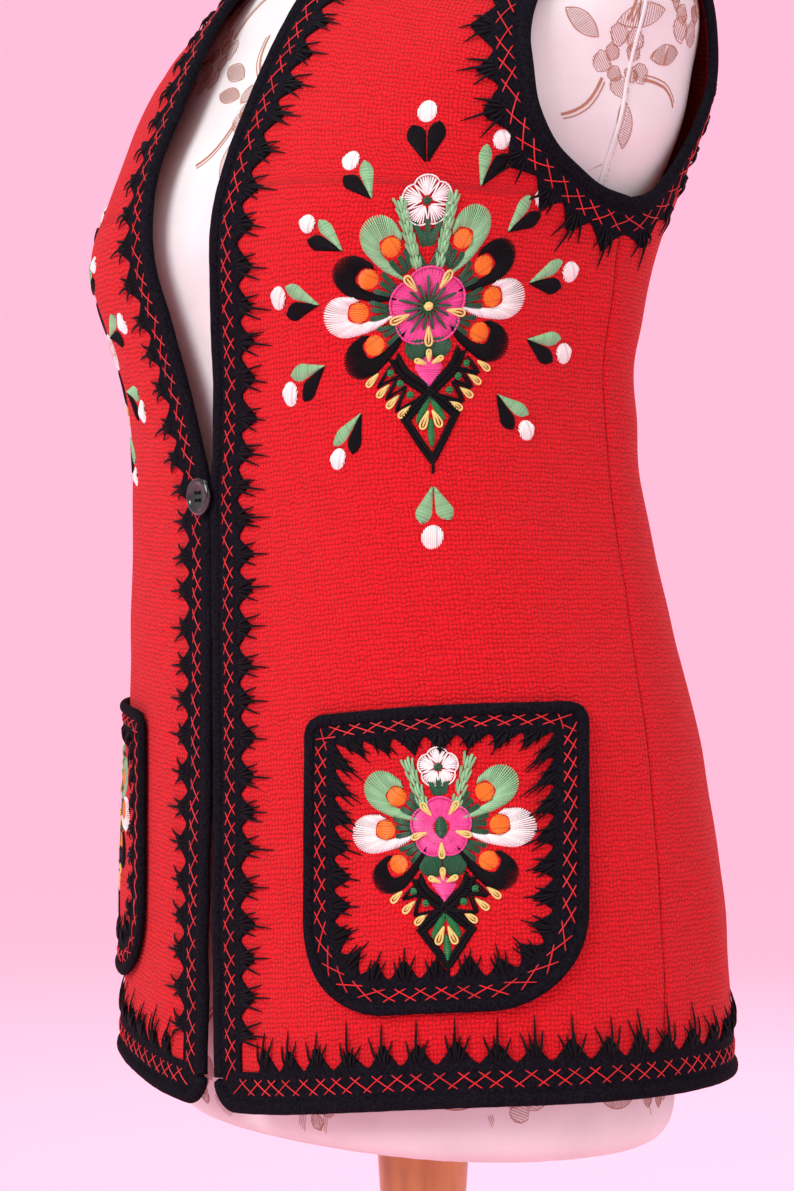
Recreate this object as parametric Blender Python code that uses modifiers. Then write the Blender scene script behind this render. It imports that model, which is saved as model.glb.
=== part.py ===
"""
Embroidered wool vest on a limbless dress form with a turned wooden stand.

Metres, +Z up, the wearer faces -Y and the wearer's left is +X. The origin is the middle of the
underside of the stand's base. The cloth's shape is one smooth surface, figure(), carried through a
table of sections. Every piece of the vest is a stretch of that surface, moved out or in along its
normal, so the pieces lie on each other as sewn cloth does.
"""
import math

import bmesh
import bpy
import numpy as np

# Cloth and trim
CLOTH_WALL = 0.0022
FELT_WALL = 0.0012
POCKET_WALL = 0.0016
SEAM_GAP = 0.0003
SIDE_SEAM = 0.0004         # half the gap at a side seam, on the cloth's outer face
SHOULDER_SEAM = 0.0008     # half the gap at a shoulder seam, on the cloth's outer face
CORNER_GAP = 0.0010        # between the front's roll and the hem's
ROLL_END = 0.0009          # from the shoulder line to the end of a roll
ROLL_RADIUS = 0.00325
ROLL_OUT = 0.0006          # the roll's middle line, out from the cloth's face
CLOTH_EDGE = 0.0044        # from the roll's middle line to the edge of the cloth inside it
FELT_EDGE = 0.0046         # from the roll's middle line to the edge of the felt
FELT_OUT = 0.0011          # underside of the felt above the cloth's face
ARMHOLE_FELT_OUT = 0.0016   # the same round an armhole, where the cloth turns over the shoulder
POCKET_OUT = 0.0008
POCKET_EDGE = 0.0050       # from the middle line of the pocket's roll to the edge of its cloth
POCKET_FELT_OUT = 0.0032
POCKET_ROLL_OUT = 0.0040
ROLL_STEP = 0.017          # spacing of the points along a roll
ROUND_ROLL_STEP = 0.011    # the same round an armhole

# The felt's cut edge: valleys and tips of its teeth, as distances from the roll's middle line
TOOTH_PITCH = 0.0175
FELT_MIDDLE = 0.011
VALLEY = 0.0175
TIP = 0.0295
CORNER_RUN = 0.028         # plain felt beside a corner, before the first tooth
POCKET_FELT_MIDDLE = 0.0095
POCKET_VALLEY = 0.0150
POCKET_TIP = 0.0250

# The sections of the figure, from the hem to the top of the shoulders
SECTION_COLUMNS = ("height", "half_width", "front_depth", "front_square", "back_depth", "back_square",
                   "middle_y", "slope", "lift")
SECTIONS = np.array([
    (0.2860, 0.178, 0.132, 0.07, 0.129, 0.02, 0.000, 0.000, 0.015),
    (0.3600, 0.175, 0.132, 0.07, 0.125, 0.02, 0.000, 0.000, 0.014),
    (0.4420, 0.166, 0.131, 0.10, 0.111, 0.02, 0.000, 0.000, 0.012),
    (0.5040, 0.154, 0.131, 0.16, 0.092, 0.02, 0.000, 0.000, 0.010),
    (0.5700, 0.141, 0.131, 0.22, 0.075, 0.02, 0.000, 0.000, 0.008),
    (0.6200, 0.136, 0.136, 0.22, 0.071, 0.02, 0.000, 0.000, 0.006),
    (0.6600, 0.139, 0.143, 0.20, 0.076, 0.02, 0.000, 0.000, 0.004),
    (0.7030, 0.146, 0.150, 0.18, 0.083, 0.03, 0.001, 0.050, 0.002),
    (0.7400, 0.154, 0.146, 0.17, 0.089, 0.05, 0.003, 0.120, 0.000),
    (0.7750, 0.161, 0.134, 0.20, 0.095, 0.07, 0.006, 0.200, 0.000),
    (0.8050, 0.163, 0.122, 0.23, 0.098, 0.10, 0.009, 0.270, 0.000),
    (0.8320, 0.162, 0.108, 0.23, 0.095, 0.12, 0.012, 0.320, 0.000),
    (0.8570, 0.161, 0.086, 0.20, 0.084, 0.14, 0.014, 0.350, 0.000),
    (0.8800, 0.159, 0.061, 0.20, 0.064, 0.14, 0.016, 0.370, 0.000),
    (0.8970, 0.158, 0.033, 0.20, 0.037, 0.14, 0.018, 0.385, 0.000),
    (0.9037, 0.158, 0.000, 0.20, 0.000, 0.14, 0.018, 0.390, 0.000),
])
SLOPE_ROUNDING = 0.040     # half width over which the shoulder slope rounds off at the neck
LIFT_SPREAD = 33.0         # degrees from the centre front over which the rows rise
BUST_ANGLE = 34.0
BUST_SPREAD = 20.0
BUST_HEIGHT = 0.690
BUST_ABOVE = 0.050
BUST_BELOW = 0.040
BUST_OUT = 0.010

# The front edge and the V neck: height and half the distance between the two rolls' middle lines
FRONT_EDGE = np.array([
    (0.286, 0.0075), (0.360, 0.0062), (0.440, 0.0050), (0.520, 0.0040), (0.575, 0.0037), (0.600, 0.0080),
    (0.625, 0.0135), (0.663, 0.0215), (0.703, 0.0290), (0.743, 0.0330), (0.783, 0.0345), (0.823, 0.0360),
    (0.857, 0.0430), (0.882, 0.0550), (0.9037, 0.0715),
])
HEM_CORNER_RADIUS = 0.012

# The armhole, the middle line of its roll: height of the row and angle round, from its lowest point
# up the front to the shoulder line, and from there down the back
ARMHOLE_FRONT = np.array([
    (0.7237, 90.0), (0.7285, 83.5), (0.7395, 77.4), (0.7540, 71.0), (0.7755, 65.0), (0.8000, 60.9),
    (0.8200, 57.6), (0.8435, 55.4), (0.8620, 55.9), (0.8770, 58.2), (0.8920, 62.0), (0.9037, 65.5),
])
ARMHOLE_BACK = np.array([
    (0.9037, 114.5), (0.8920, 116.6), (0.8720, 118.6), (0.8450, 118.9), (0.8120, 116.8), (0.7780, 112.4),
    (0.7530, 107.6), (0.7370, 102.2), (0.7280, 96.6), (0.7237, 90.0),
])
BACK_NECK_HEIGHT = 0.871

# The pockets, in lengths along the cloth from the centre front and in row heights, outside the binding
POCKET_MIDDLE = 0.1355
POCKET_WIDTH = 0.1370
POCKET_HEIGHT = 0.1440
POCKET_FOOT = 0.3270
POCKET_TOP_RADIUS = 0.006
POCKET_BOTTOM_RADIUS = 0.046

# The button
BUTTON_HEIGHT = 0.5780
BUTTON_X = -0.0030
BUTTON_RADIUS = 0.00925
BUTTON_THICKNESS = 0.0032
BUTTON_RIM = 0.0016
BUTTON_DISH = 0.0009
HOLE_RADIUS = 0.0010
HOLE_SPACING = 0.0036

# The dress form and its stand
FORM_INSET = 0.0036        # from the cloth's outer face to the form where the vest rests on it
FORM_EASE = 0.011          # the room between them elsewhere
FORM_NECK_EASE = 0.0048    # more room beside the neck
FORM_BOTTOM = 0.262
FORM_BOTTOM_ROUND = 0.022
FORM_HEM_INSET = 0.024
NECK_TOP = 0.960
NECK_HALF_WIDTH = 0.054
NECK_HALF_DEPTH = 0.052
NECK_Y = 0.018
NECK_ROUND = 0.006
POST_TOP_RADIUS = 0.0240
POST_RADIUS = 0.0205
BASE_RADIUS = 0.160
BASE_THICKNESS = 0.024
BASE_ROUND = 0.007

# Grid sizes
FRONT_COLUMNS = 12
BACK_COLUMNS = 12          # on each half
ROWS_BELOW = 17
ROWS_ABOVE = 13
FORM_ANGLES = 28


def through(table, t):
    """Smooth values of a table's columns at t, counted in rows, on a Catmull-Rom curve."""
    rows = len(table)
    before = 2 * table[:1] - table[1:2]
    after = table[-2:-1] * np.where([name.endswith("depth") for name in SECTION_COLUMNS], -1, 1)
    padded = np.concatenate([before, table, after])
    i = np.clip(t.astype(int), 0, rows - 2)
    f = (t - i)[..., None]
    p0, p1, p2, p3 = (padded[i + k] for k in range(4))
    return 0.5 * (2 * p1 + (p2 - p0) * f + (2 * p0 - 5 * p1 + 4 * p2 - p3) * f**2
                  + (3 * p1 - p0 - 3 * p2 + p3) * f**3)


def figure(s, phi):
    """
    The point of the cloth's outer face at s, 0 on the hem and 1 on the shoulder line, and phi,
    degrees round from the centre front towards the wearer's left. Past the shoulder line, s above
    1 goes down the other face.
    """
    s, phi = np.broadcast_arrays(np.asarray(s, float), np.asarray(phi, float))
    phi = np.where(s > 1, np.copysign(180, phi) - phi, phi)
    s = np.where(s > 1, 2 - s, s)
    h, a, df, cf, db, cb, yc, slope, lift = np.moveaxis(through(SECTIONS, s * (len(SECTIONS) - 1)), -1, 0)
    angle = np.radians(phi)
    front = np.cos(angle) > 0
    depth = np.where(front, df, db)
    square = np.where(front, cf, cb)
    x = a * np.sin(angle) * (1 + square * np.cos(angle)**2)
    y = yc - depth * np.cos(angle) * (1 + square * np.sin(angle)**2)
    turn = np.abs((phi + 180) % 360 - 180)
    z = h - slope * (np.hypot(x, SLOPE_ROUNDING) - SLOPE_ROUNDING) + lift * (1 - np.exp(-(turn / LIFT_SPREAD)**2))
    across = (turn - BUST_ANGLE) / BUST_SPREAD
    rise = h - BUST_HEIGHT
    rise = rise / np.where(rise > 0, BUST_ABOVE, BUST_BELOW)
    out = BUST_OUT * np.exp(-across**2 - rise**2)
    aim = math.radians(BUST_ANGLE)
    return np.stack([x + out * math.sin(aim) * np.sign(x), y - out * math.cos(aim), z], -1)


def tangents(s, phi, step=1e-4):
    """The figure's tangents along s and along phi in radians."""
    along = (figure(s + step, phi) - figure(s - step, phi)) / (2 * step)
    turn = math.degrees(step)
    around = (figure(s, phi + turn) - figure(s, phi - turn)) / (2 * step)
    return along, around


def unit(vectors):
    return vectors / np.maximum(np.linalg.norm(vectors, axis=-1, keepdims=True), 1e-12)


def cloth(s, phi, out=0.0):
    """A point of the figure moved out along its normal."""
    along, around = tangents(s, phi)
    return figure(s, phi) + np.asarray(out)[..., None] * unit(np.cross(around, along))


def walk(s, phi, direction, length, steps=4):
    """The s and phi reached by going the length over the figure in a direction."""
    size = np.linalg.norm(direction, axis=-1)
    for _ in range(steps):
        along, around = tangents(s, phi)
        normal = unit(np.cross(around, along))
        flat = unit(direction - (direction * normal).sum(-1)[..., None] * normal)
        go = flat * (size * length / steps)[..., None]
        aa = (along * along).sum(-1)
        ab = (along * around).sum(-1)
        bb = (around * around).sum(-1)
        ga = (go * along).sum(-1)
        gb = (go * around).sum(-1)
        area = aa * bb - ab**2
        s = s + (ga * bb - gb * ab) / area
        phi = phi + np.degrees((gb * aa - ga * ab) / area)
    return s, phi


def row_of(height):
    """The s whose row has a height at the centre front."""
    s = np.linspace(0, 1, 1501)
    heights = through(SECTIONS, s * (len(SECTIONS) - 1))[:, 0]
    return np.interp(height, heights, s)


def turn_to(s, x):
    """The angle from the centre front at which the front's row s reaches a given x."""
    low = np.zeros_like(s)
    high = np.full_like(s, 90.0)
    for _ in range(32):
        middle = (low + high) / 2
        short = figure(s, middle)[..., 0] < x
        low = np.where(short, middle, low)
        high = np.where(short, high, middle)
    return (low + high) / 2


def turn_along(s, length, steps=40):
    """The angle reached by going a length along row s from the centre front."""
    phi = np.zeros_like(s)
    for _ in range(steps):
        _, around = tangents(s, phi)
        half = phi + np.degrees(length / steps / 2 / np.linalg.norm(around, axis=-1))
        _, around = tangents(s, half)
        phi = phi + np.degrees(length / steps / np.linalg.norm(around, axis=-1))
    return phi


class Path:
    """A line on the cloth, dense points of s and phi, with the cloth on its left seen from outside."""

    def __init__(self, s, phi, closed=False):
        points = figure(s, phi)
        if closed:
            points = np.concatenate([points, points[:1]])
            s = np.append(s, s[0])
            phi = np.append(phi, phi[0])
        self.s, self.phi, self.closed = s, phi, closed
        steps = np.linalg.norm(np.diff(points, axis=0), axis=-1)
        self.run = np.concatenate([[0], np.cumsum(steps)])
        self.points = points
        self.length = self.run[-1]

    def at(self, t):
        return np.interp(t, self.run, self.s), np.interp(t, self.run, self.phi)

    def point(self, t):
        if self.closed:
            t = np.mod(t, self.length)
        return np.stack([np.interp(t, self.run, self.points[:, k]) for k in range(3)], -1)

    def frame(self, t, reach=0.004):
        """The unit direction of travel at t and the one to its left."""
        low, high = t - reach, t + reach
        if not self.closed:
            low, high = np.maximum(low, 0), np.minimum(high, self.length)
        ahead = unit(self.point(high) - self.point(low))
        along, around = tangents(*self.at(t))
        left = unit(np.cross(unit(np.cross(around, along)), ahead))
        return ahead, left

    def beside(self, t, distance, mitre=None):
        """The s and phi at a distance to the left of the line, on the diagonal where it is mitred."""
        ahead, left = self.frame(t)
        aim = left if mitre is None else left + mitre[..., None] * ahead
        s, phi = self.at(t)
        return walk(s, phi, aim, distance)


def growing_steps(start, stop, count):
    """Values from start to stop whose steps begin short and grow to an even size, as a round edge needs."""
    steps = np.minimum(np.arange(1, count + 1) * 0.16, 1.0)
    return start + (stop - start) * np.cumsum(steps) / steps.sum()


def front_path():
    """The left front's edge, from the shoulder down the neck to the hem."""
    rows = smooth_table(FRONT_EDGE, np.linspace(len(FRONT_EDGE) - 1, 0, 500))
    s = row_of(rows[:, 0])
    return Path(s, turn_to(s, rows[:, 1]))


def hem_path():
    """The hem, from the left front's corner round the back to the right front's."""
    corner = turn_to(np.zeros(1), FRONT_EDGE[0, 1])[0]
    phi = np.linspace(corner, 360 - corner, 900)
    return Path(np.zeros_like(phi), phi)


def smooth_table(table, spot):
    """Catmull-Rom values of a table at a row count that need not be whole."""
    padded = np.concatenate([2 * table[:1] - table[1:2], table, 2 * table[-1:] - table[-2:-1]])
    i = np.clip(spot.astype(int), 0, len(table) - 2)
    f = (spot - i)[:, None]
    p0, p1, p2, p3 = (padded[i + k] for k in range(4))
    return 0.5 * (2 * p1 + (p2 - p0) * f + (2 * p0 - 5 * p1 + 4 * p2 - p3) * f**2
                  + (3 * p1 - p0 - 3 * p2 + p3) * f**3)


def armhole_path():
    """The left armhole, from its lowest point up the front and down the back."""
    halves = [smooth_table(table, np.linspace(0, len(table) - 1, 240)) for table in (ARMHOLE_FRONT, ARMHOLE_BACK)]
    rows = np.concatenate([halves[0], halves[1][:-1]])
    return Path(row_of(rows[:, 0]), rows[:, 1], closed=True)


def neck_path():
    """The back neck, from the right shoulder to the left one."""
    start = turn_to(np.ones(1), FRONT_EDGE[-1, 1])[0]
    across = np.linspace(-1, 1, 200)
    low = row_of(BACK_NECK_HEIGHT)
    s = low + (1 - low) * (1 - np.sqrt(np.maximum(1 - np.abs(across)**2.4, 0)))
    return Path(s, 180 - across * start)


def station_run(first, last, pitch):
    """Evenly spaced lengths from first to last, as near to the pitch as a whole number of steps allows."""
    count = max(int(round((last - first) / pitch)), 1)
    return np.linspace(first, last, count + 1)


# Meshes and objects

def material(name, colour, roughness, metallic=0.0):
    made = bpy.data.materials.new(name)
    made.use_nodes = True
    shader = made.node_tree.nodes["Principled BSDF"]
    shader.inputs["Base Color"].default_value = (*colour, 1.0)
    shader.inputs["Roughness"].default_value = roughness
    shader.inputs["Metallic"].default_value = metallic
    made.diffuse_color = (*colour, 1.0)
    return made


def add_object(name, data, finish, parent, collection):
    made = bpy.data.objects.new(name, data)
    made.data.materials.append(finish)
    made.parent = parent
    collection.objects.link(made)
    return made


def mirrored(points, faces, side):
    """A piece on the wearer's left as it is, or its mirror image on the right."""
    if side > 0:
        return points, faces
    return points * np.array([-1, 1, 1]), [tuple(reversed(face)) for face in faces]


def grid_faces(rows, columns):
    """Quads between the points of a grid, facing out where columns run towards the wearer's left."""
    quads = []
    for i in range(rows - 1):
        for j in range(columns - 1):
            k = i * columns + j
            quads.append((k, k + 1, k + columns + 1, k + columns))
    return quads


def wall(name, points, faces, thickness, inward, place):
    """An open sheet of points given its thickness by Solidify, inward or outward."""
    mesh = bpy.data.meshes.new(name)
    mesh.from_pydata([tuple(map(float, point)) for point in points], [], faces)
    mesh.update()
    made = add_object(name, mesh, *place)
    solid = made.modifiers.new("wall", "SOLIDIFY")
    solid.thickness = thickness
    solid.offset = -1 if inward else 1
    return made


def roll(name, points, closed, place, radius=ROLL_RADIUS):
    """A rolled felt binding, a curve with a round bevel."""
    curve = bpy.data.curves.new(name, "CURVE")
    curve.dimensions = "3D"
    curve.bevel_depth = radius
    curve.bevel_resolution = 1
    curve.use_fill_caps = True
    line = curve.splines.new("POLY")
    line.points.add(len(points) - 1)
    for point, spot in zip(line.points, points):
        point.co = (*map(float, spot), 1.0)
    line.use_cyclic_u = closed
    return add_object(name, curve, *place)


def turned(name, profile, segments, place, middle=(0.0, 0.0)):
    """A turned piece: a profile of radius and height, top to bottom, with a Screw modifier."""
    mesh = bpy.data.meshes.new(name)
    points = [(radius, 0.0, height) for radius, height in profile]
    mesh.from_pydata(points, [(k, k + 1) for k in range(len(points) - 1)], [])
    made = add_object(name, mesh, *place)
    made.location = (*middle, 0.0)
    screw = made.modifiers.new("turn", "SCREW")
    screw.steps = segments
    screw.render_steps = segments
    screw.use_merge_vertices = True
    screw.merge_threshold = 0.00005
    return made


def arc(centre, radius, start, stop, steps):
    """Points of an arc in a profile, angles in degrees from the radial direction."""
    return [(centre[0] + radius * math.cos(math.radians(start + (stop - start) * k / steps)),
             centre[1] + radius * math.sin(math.radians(start + (stop - start) * k / steps)))
            for k in range(steps + 1)]


# Cloth panels

def panel_rows(low, underarm):
    """The rows of a panel: even below the armhole, close together where the armhole turns up."""
    below = np.linspace(low, underarm, ROWS_BELOW + 1)
    top = 1 - SHOULDER_SEAM / np.linalg.norm(tangents(np.ones(1) - 0.01, np.full(1, 50.0))[0])
    return np.concatenate([below, growing_steps(underarm, top, ROWS_ABOVE)])


def side_edge(s, armhole, front):
    """The angle of a panel's side: the side seam, then the armhole's edge."""
    t = np.linspace(0, armhole.length, 600)
    edge_s, edge_phi = armhole.beside(t, CLOTH_EDGE)
    seam = math.degrees(SIDE_SEAM / SECTIONS[:, 2].mean())
    top = t[np.argmax(edge_s)]
    part = (t <= top) if front else (t >= top)
    part &= (edge_phi < 90) if front else (edge_phi > 90)
    order = np.argsort(edge_s[part])
    angle = np.interp(s, edge_s[part][order], edge_phi[part][order])
    low = edge_s[part].min()
    straight = 90 - seam if front else 90 + seam
    return np.where(s <= low, straight, angle), low


def front_panel(paths, side, place, name):
    t = np.linspace(0, paths["front"].length, 400)
    inner_s, inner_phi = paths["front"].beside(t, CLOTH_EDGE)
    order = np.argsort(inner_s)
    _, underarm = side_edge(np.ones(1), paths["armhole"], True)
    rows = panel_rows(hem_line(), underarm)
    outer, _ = side_edge(rows, paths["armhole"], True)
    inner_s, inner_phi = inner_s[order], inner_phi[order]
    slant = (inner_phi[-1] - inner_phi[-8]) / (inner_s[-1] - inner_s[-8])
    inner = np.interp(rows, inner_s, inner_phi) + slant * np.maximum(rows - inner_s[-1], 0)
    across = np.linspace(0, 1, FRONT_COLUMNS + 1)
    s = np.repeat(rows[:, None], len(across), 1)
    phi = inner[:, None] + (outer - inner)[:, None] * across
    corner = np.array([corner_diagonal() - CLOTH_EDGE * math.sqrt(2)])
    s[0, 0], phi[0, 0] = (value[0] for value in walk(
        s[:1, 0], phi[:1, 0], np.array([[1.0, 0.0, 1.0]]) / math.sqrt(2), corner))
    points, faces = mirrored(cloth(s, phi).reshape(-1, 3), grid_faces(*s.shape), side)
    return wall(name, points, faces, CLOTH_WALL, True, place)


def back_panel(paths, place):
    _, underarm = side_edge(np.ones(1), paths["armhole"], False)
    rows = panel_rows(hem_line(), underarm)
    side, _ = side_edge(rows, paths["armhole"], False)
    t = np.linspace(0, paths["neck"].length, 400)
    neck_s, neck_phi = paths["neck"].beside(t, CLOTH_EDGE)
    left = neck_phi < 180
    shoulder = neck_phi[left & (neck_s < rows[-1])].min()
    share = (180 - shoulder) / (180 - side[-1])
    strap = BACK_COLUMNS // 2
    across = np.concatenate([np.linspace(1, share, strap + 1), np.linspace(share, 0, BACK_COLUMNS - strap + 1)[1:]])
    across = np.concatenate([across, -across[-2::-1]])
    phi = 180 - (180 - side)[:, None] * across
    neck = np.interp(phi[-1], neck_phi[np.argsort(neck_phi)], neck_s[np.argsort(neck_phi)], left=2.0, right=2.0)
    top = np.where(np.abs(across) <= share + 1e-6, np.minimum(neck, rows[-1]), rows[-1])
    underarm_row = ROWS_BELOW
    fall = np.clip((rows - rows[underarm_row]) / (rows[-1] - rows[underarm_row]), 0, 1)
    s = rows[:, None] - fall[:, None]**2 * (rows[-1] - top)
    points = cloth(s, phi).reshape(-1, 3)
    return wall("vest_back", points, grid_faces(*s.shape), CLOTH_WALL, True, place)


def corner_diagonal():
    """From the corner of the two edges' lines, along the diagonal, to just inside the round corner's roll."""
    return HEM_CORNER_RADIUS * (math.sqrt(2) - 1) + ROLL_RADIUS + 2 * SEAM_GAP


def hem_line():
    """The s of the cloth's edge inside the hem's roll."""
    along, _ = tangents(np.zeros(1), np.full(1, 60.0))
    return CLOTH_EDGE / np.linalg.norm(along[0])


# Felt borders

def uneven(k, amount):
    """A small difference from tooth to tooth, as hand cutting leaves."""
    return 1 + amount * np.sin(2.4 * k + 0.7) * np.cos(1.1 * k)


def felt_band(name, path, first, last, side, place, mitred=(False, False), closed=False):
    """A strip of felt to the left of a path, its far edge cut into teeth."""
    start = first + (CORNER_RUN if mitred[0] else 0)
    stop = last - (CORNER_RUN if mitred[1] else 0)
    valleys = station_run(start, stop, TOOTH_PITCH)
    tips = (valleys[1:] + valleys[:-1]) / 2
    if mitred[0]:
        valleys = np.concatenate([[first], valleys])
    if mitred[1]:
        valleys = np.append(valleys, last)
    if closed:
        valleys = valleys[:-1]
    count = len(valleys)
    mitre = np.zeros(count)
    mitre[0] = 1.0 if mitred[0] else 0.0
    mitre[-1] = -1.0 if mitred[1] else 0.0
    edge = np.where(mitre == 0, FELT_EDGE, corner_diagonal() / math.sqrt(2))
    out = ARMHOLE_FELT_OUT if closed else FELT_OUT
    lines = [cloth(*path.beside(valleys, distance, mitre), out)
             for distance in (edge, np.full(count, FELT_MIDDLE), np.full(count, VALLEY))]
    reach = TIP * uneven(np.arange(len(tips)), 0.06)
    tip = cloth(*path.beside(tips, reach), out)
    points = np.concatenate([*lines, tip])
    faces = []
    skipped = 1 if mitred[0] else 0
    for k in range(count if closed else count - 1):
        n = (k + 1) % count
        faces.append((k, n, count + n, count + k))
        tooth = k - skipped
        if 0 <= tooth < len(tips):
            peak = 3 * count + tooth
            faces.append((count + k, count + n, peak))
            faces.append((count + k, peak, 2 * count + k))
            faces.append((count + n, 2 * count + n, peak))
        else:
            faces.append((count + k, count + n, 2 * count + n, 2 * count + k))
    return wall(name, *mirrored(points, faces, side), FELT_WALL, False, place)


# Pockets

def pocket_line(inset, turn_count, top_radius):
    """
    The pocket's outline at an inset from its outer edge, in lengths across and up from its middle:
    down the front side, round the bottom and up the other side, then back along the top.
    """
    half = POCKET_WIDTH / 2 - inset
    top = POCKET_HEIGHT / 2 - inset
    low = POCKET_BOTTOM_RADIUS - inset
    high = max(top_radius - inset, 0.0)
    sides, bottom, corner, head = turn_count
    points = []

    def straight(a, b, steps):
        for k in range(steps):
            f = k / steps
            points.append((a[0] + (b[0] - a[0]) * f, a[1] + (b[1] - a[1]) * f))

    def bend(centre, radius, start, steps):
        for k in range(steps):
            angle = math.radians(start + 90 * k / steps)
            points.append((centre[0] + radius * math.cos(angle), centre[1] + radius * math.sin(angle)))

    straight((-half, top - high), (-half, -top + low), sides)
    bend((-half + low, -top + low), low, 180, corner)
    straight((-half + low, -top), (half - low, -top), bottom)
    bend((half - low, -top + low), low, 270, corner)
    straight((half, -top + low), (half, top - high), sides)
    if top_radius > 0:
        bend((half - high, top - high), high, 0, 2)
    straight((half - high, top), (-half + high, top), head)
    if top_radius > 0:
        bend((-half + high, top - high), high, 90, 2)
    return np.array(points)


def pocket_place(points, out):
    """Points of the flat pocket laid on the cloth."""
    rise = np.linalg.norm(tangents(np.full(1, 0.12), np.full(1, 47.0))[0][0])
    foot = row_of(POCKET_FOOT)
    s = foot + (points[:, 1] + POCKET_HEIGHT / 2) / rise
    phi = turn_along(s, POCKET_MIDDLE + points[:, 0])
    return cloth(s, phi, out)


def pocket_patch(name, side, place):
    rows, columns = 9, 8
    inset = ROLL_RADIUS + POCKET_EDGE
    half = POCKET_WIDTH / 2 - inset
    top = POCKET_HEIGHT / 2 - inset
    radius = POCKET_BOTTOM_RADIUS - inset
    arc_rows = 5
    turn = np.radians(np.linspace(0, 90, arc_rows + 1))
    high = np.concatenate([-top + radius * (1 - np.cos(turn)), np.linspace(-top + radius, top, rows - arc_rows + 1)[1:]])
    width = np.where(high < -top + radius, half - radius + np.sqrt(
        np.maximum(radius**2 - (radius - (high + top))**2, 0)), half)
    across = np.linspace(-1, 1, columns + 1)
    points = np.stack([width[:, None] * across, np.repeat(high[:, None], columns + 1, 1)], -1).reshape(-1, 2)
    laid, faces = mirrored(pocket_place(points, POCKET_OUT), grid_faces(rows + 1, columns + 1), side)
    return wall(name, laid, faces, POCKET_WALL, False, place)


def pocket_felt(name, side, place):
    """The pocket's frame of felt, its inner edge cut into teeth."""
    counts = (4, 3, 3, 7)
    lines = [pocket_line(ROLL_RADIUS + distance, counts, 0.0)
             for distance in (FELT_EDGE, POCKET_FELT_MIDDLE, POCKET_VALLEY)]
    doubled = tuple(2 * count for count in counts)
    tips = pocket_line(ROLL_RADIUS + POCKET_TIP, doubled, 0.0)[1::2]
    count = len(lines[0])
    middle = tips.mean(axis=0)
    tips = middle + (tips - middle) * uneven(np.arange(count), 0.03)[:, None]
    laid = np.concatenate([pocket_place(line, POCKET_FELT_OUT) for line in (*lines, tips)])
    faces = []
    for k in range(count):
        n = (k + 1) % count
        peak = 3 * count + k
        faces.append((k, n, count + n, count + k))
        faces.append((count + k, count + n, peak))
        faces.append((count + k, peak, 2 * count + k))
        faces.append((count + n, 2 * count + n, peak))
    return wall(name, *mirrored(laid, faces, side), FELT_WALL, False, place)


def pocket_roll(name, side, place):
    outline = pocket_line(ROLL_RADIUS, (5, 5, 3, 8), POCKET_TOP_RADIUS)
    laid = pocket_place(outline, POCKET_ROLL_OUT)
    return roll(name, laid * np.array([side, 1, 1]), True, place)


# Rolled bindings

def edge_roll(name, path, first, last, side, place, closed=False):
    t = station_run(first, last, ROUND_ROLL_STEP if closed else ROLL_STEP)
    if closed:
        t = t[:-1]
    laid = cloth(*path.at(t), ROLL_OUT)
    return roll(name, laid * np.array([side, 1, 1]), closed, place)


def hem_roll(paths, place):
    """The hem's roll, with the round corners at both fronts."""
    hem = paths["hem"]
    front = paths["front"]
    radius = HEM_CORNER_RADIUS
    corner = []
    for angle in (0, 30, 60):
        back = radius * (1 - math.sin(math.radians(angle)))
        inward = radius * (1 - math.cos(math.radians(angle)))
        s, phi = front.beside(np.array([front.length - back]), np.array([max(inward, 1e-5)]))
        corner.append(cloth(s, phi, ROLL_OUT)[0])
    t = station_run(radius, hem.length - radius, ROLL_STEP)
    middle = cloth(*hem.at(t), ROLL_OUT)
    other = [point * np.array([-1, 1, 1]) for point in reversed(corner)]
    return roll("binding_hem", np.array([*corner, *middle, *other]), False, place)


# The button

def button(place, cutters):
    """A dished button with a rim and four holes, lying on the two rolls."""
    r, rim, dish = BUTTON_RADIUS, BUTTON_RIM, BUTTON_DISH
    half = BUTTON_THICKNESS / 2
    profile = [(0.0, half - dish), (r - 2 * rim, half - dish), (r - 1.4 * rim, half - dish * 0.4),
               (r - rim, half), (r - 0.5 * rim, half), (r, half - 0.5 * rim), (r, 0.0),
               (r - rim, -half), (0.0, -half)]
    made = turned("button", profile, 20, place)
    holes = bmesh.new()
    for x in (-1, 1):
        for y in (-1, 1):
            drilled = bmesh.ops.create_cone(holes, cap_ends=True, segments=6, radius1=HOLE_RADIUS,
                                            radius2=HOLE_RADIUS, depth=4 * BUTTON_THICKNESS)
            bmesh.ops.translate(holes, verts=drilled["verts"], vec=(x * HOLE_SPACING / 2, y * HOLE_SPACING / 2, 0))
    mesh = bpy.data.meshes.new("button_holes")
    holes.to_mesh(mesh)
    holes.free()
    cutter = bpy.data.objects.new("button_holes", mesh)
    cutters.objects.link(cutter)
    cutter.hide_render = True
    cutter.display_type = "WIRE"
    reach = np.array([BUTTON_HEIGHT - r, BUTTON_HEIGHT + r])
    low, high = cloth(row_of(reach), np.array([1.5, 1.5]), ROLL_OUT + ROLL_RADIUS)
    lean = math.atan2(low[1] - high[1], high[2] - low[2])
    spot = (BUTTON_X, float(low[1] + high[1]) / 2 - half - SEAM_GAP, BUTTON_HEIGHT)
    for piece in (made, cutter):
        piece.location = spot
        piece.rotation_euler = (math.radians(90) + lean, 0, 0)
    cut = made.modifiers.new("holes", "BOOLEAN")
    cut.object = cutter
    cut.solver = "EXACT"
    return made


# The dress form and its stand

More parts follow.
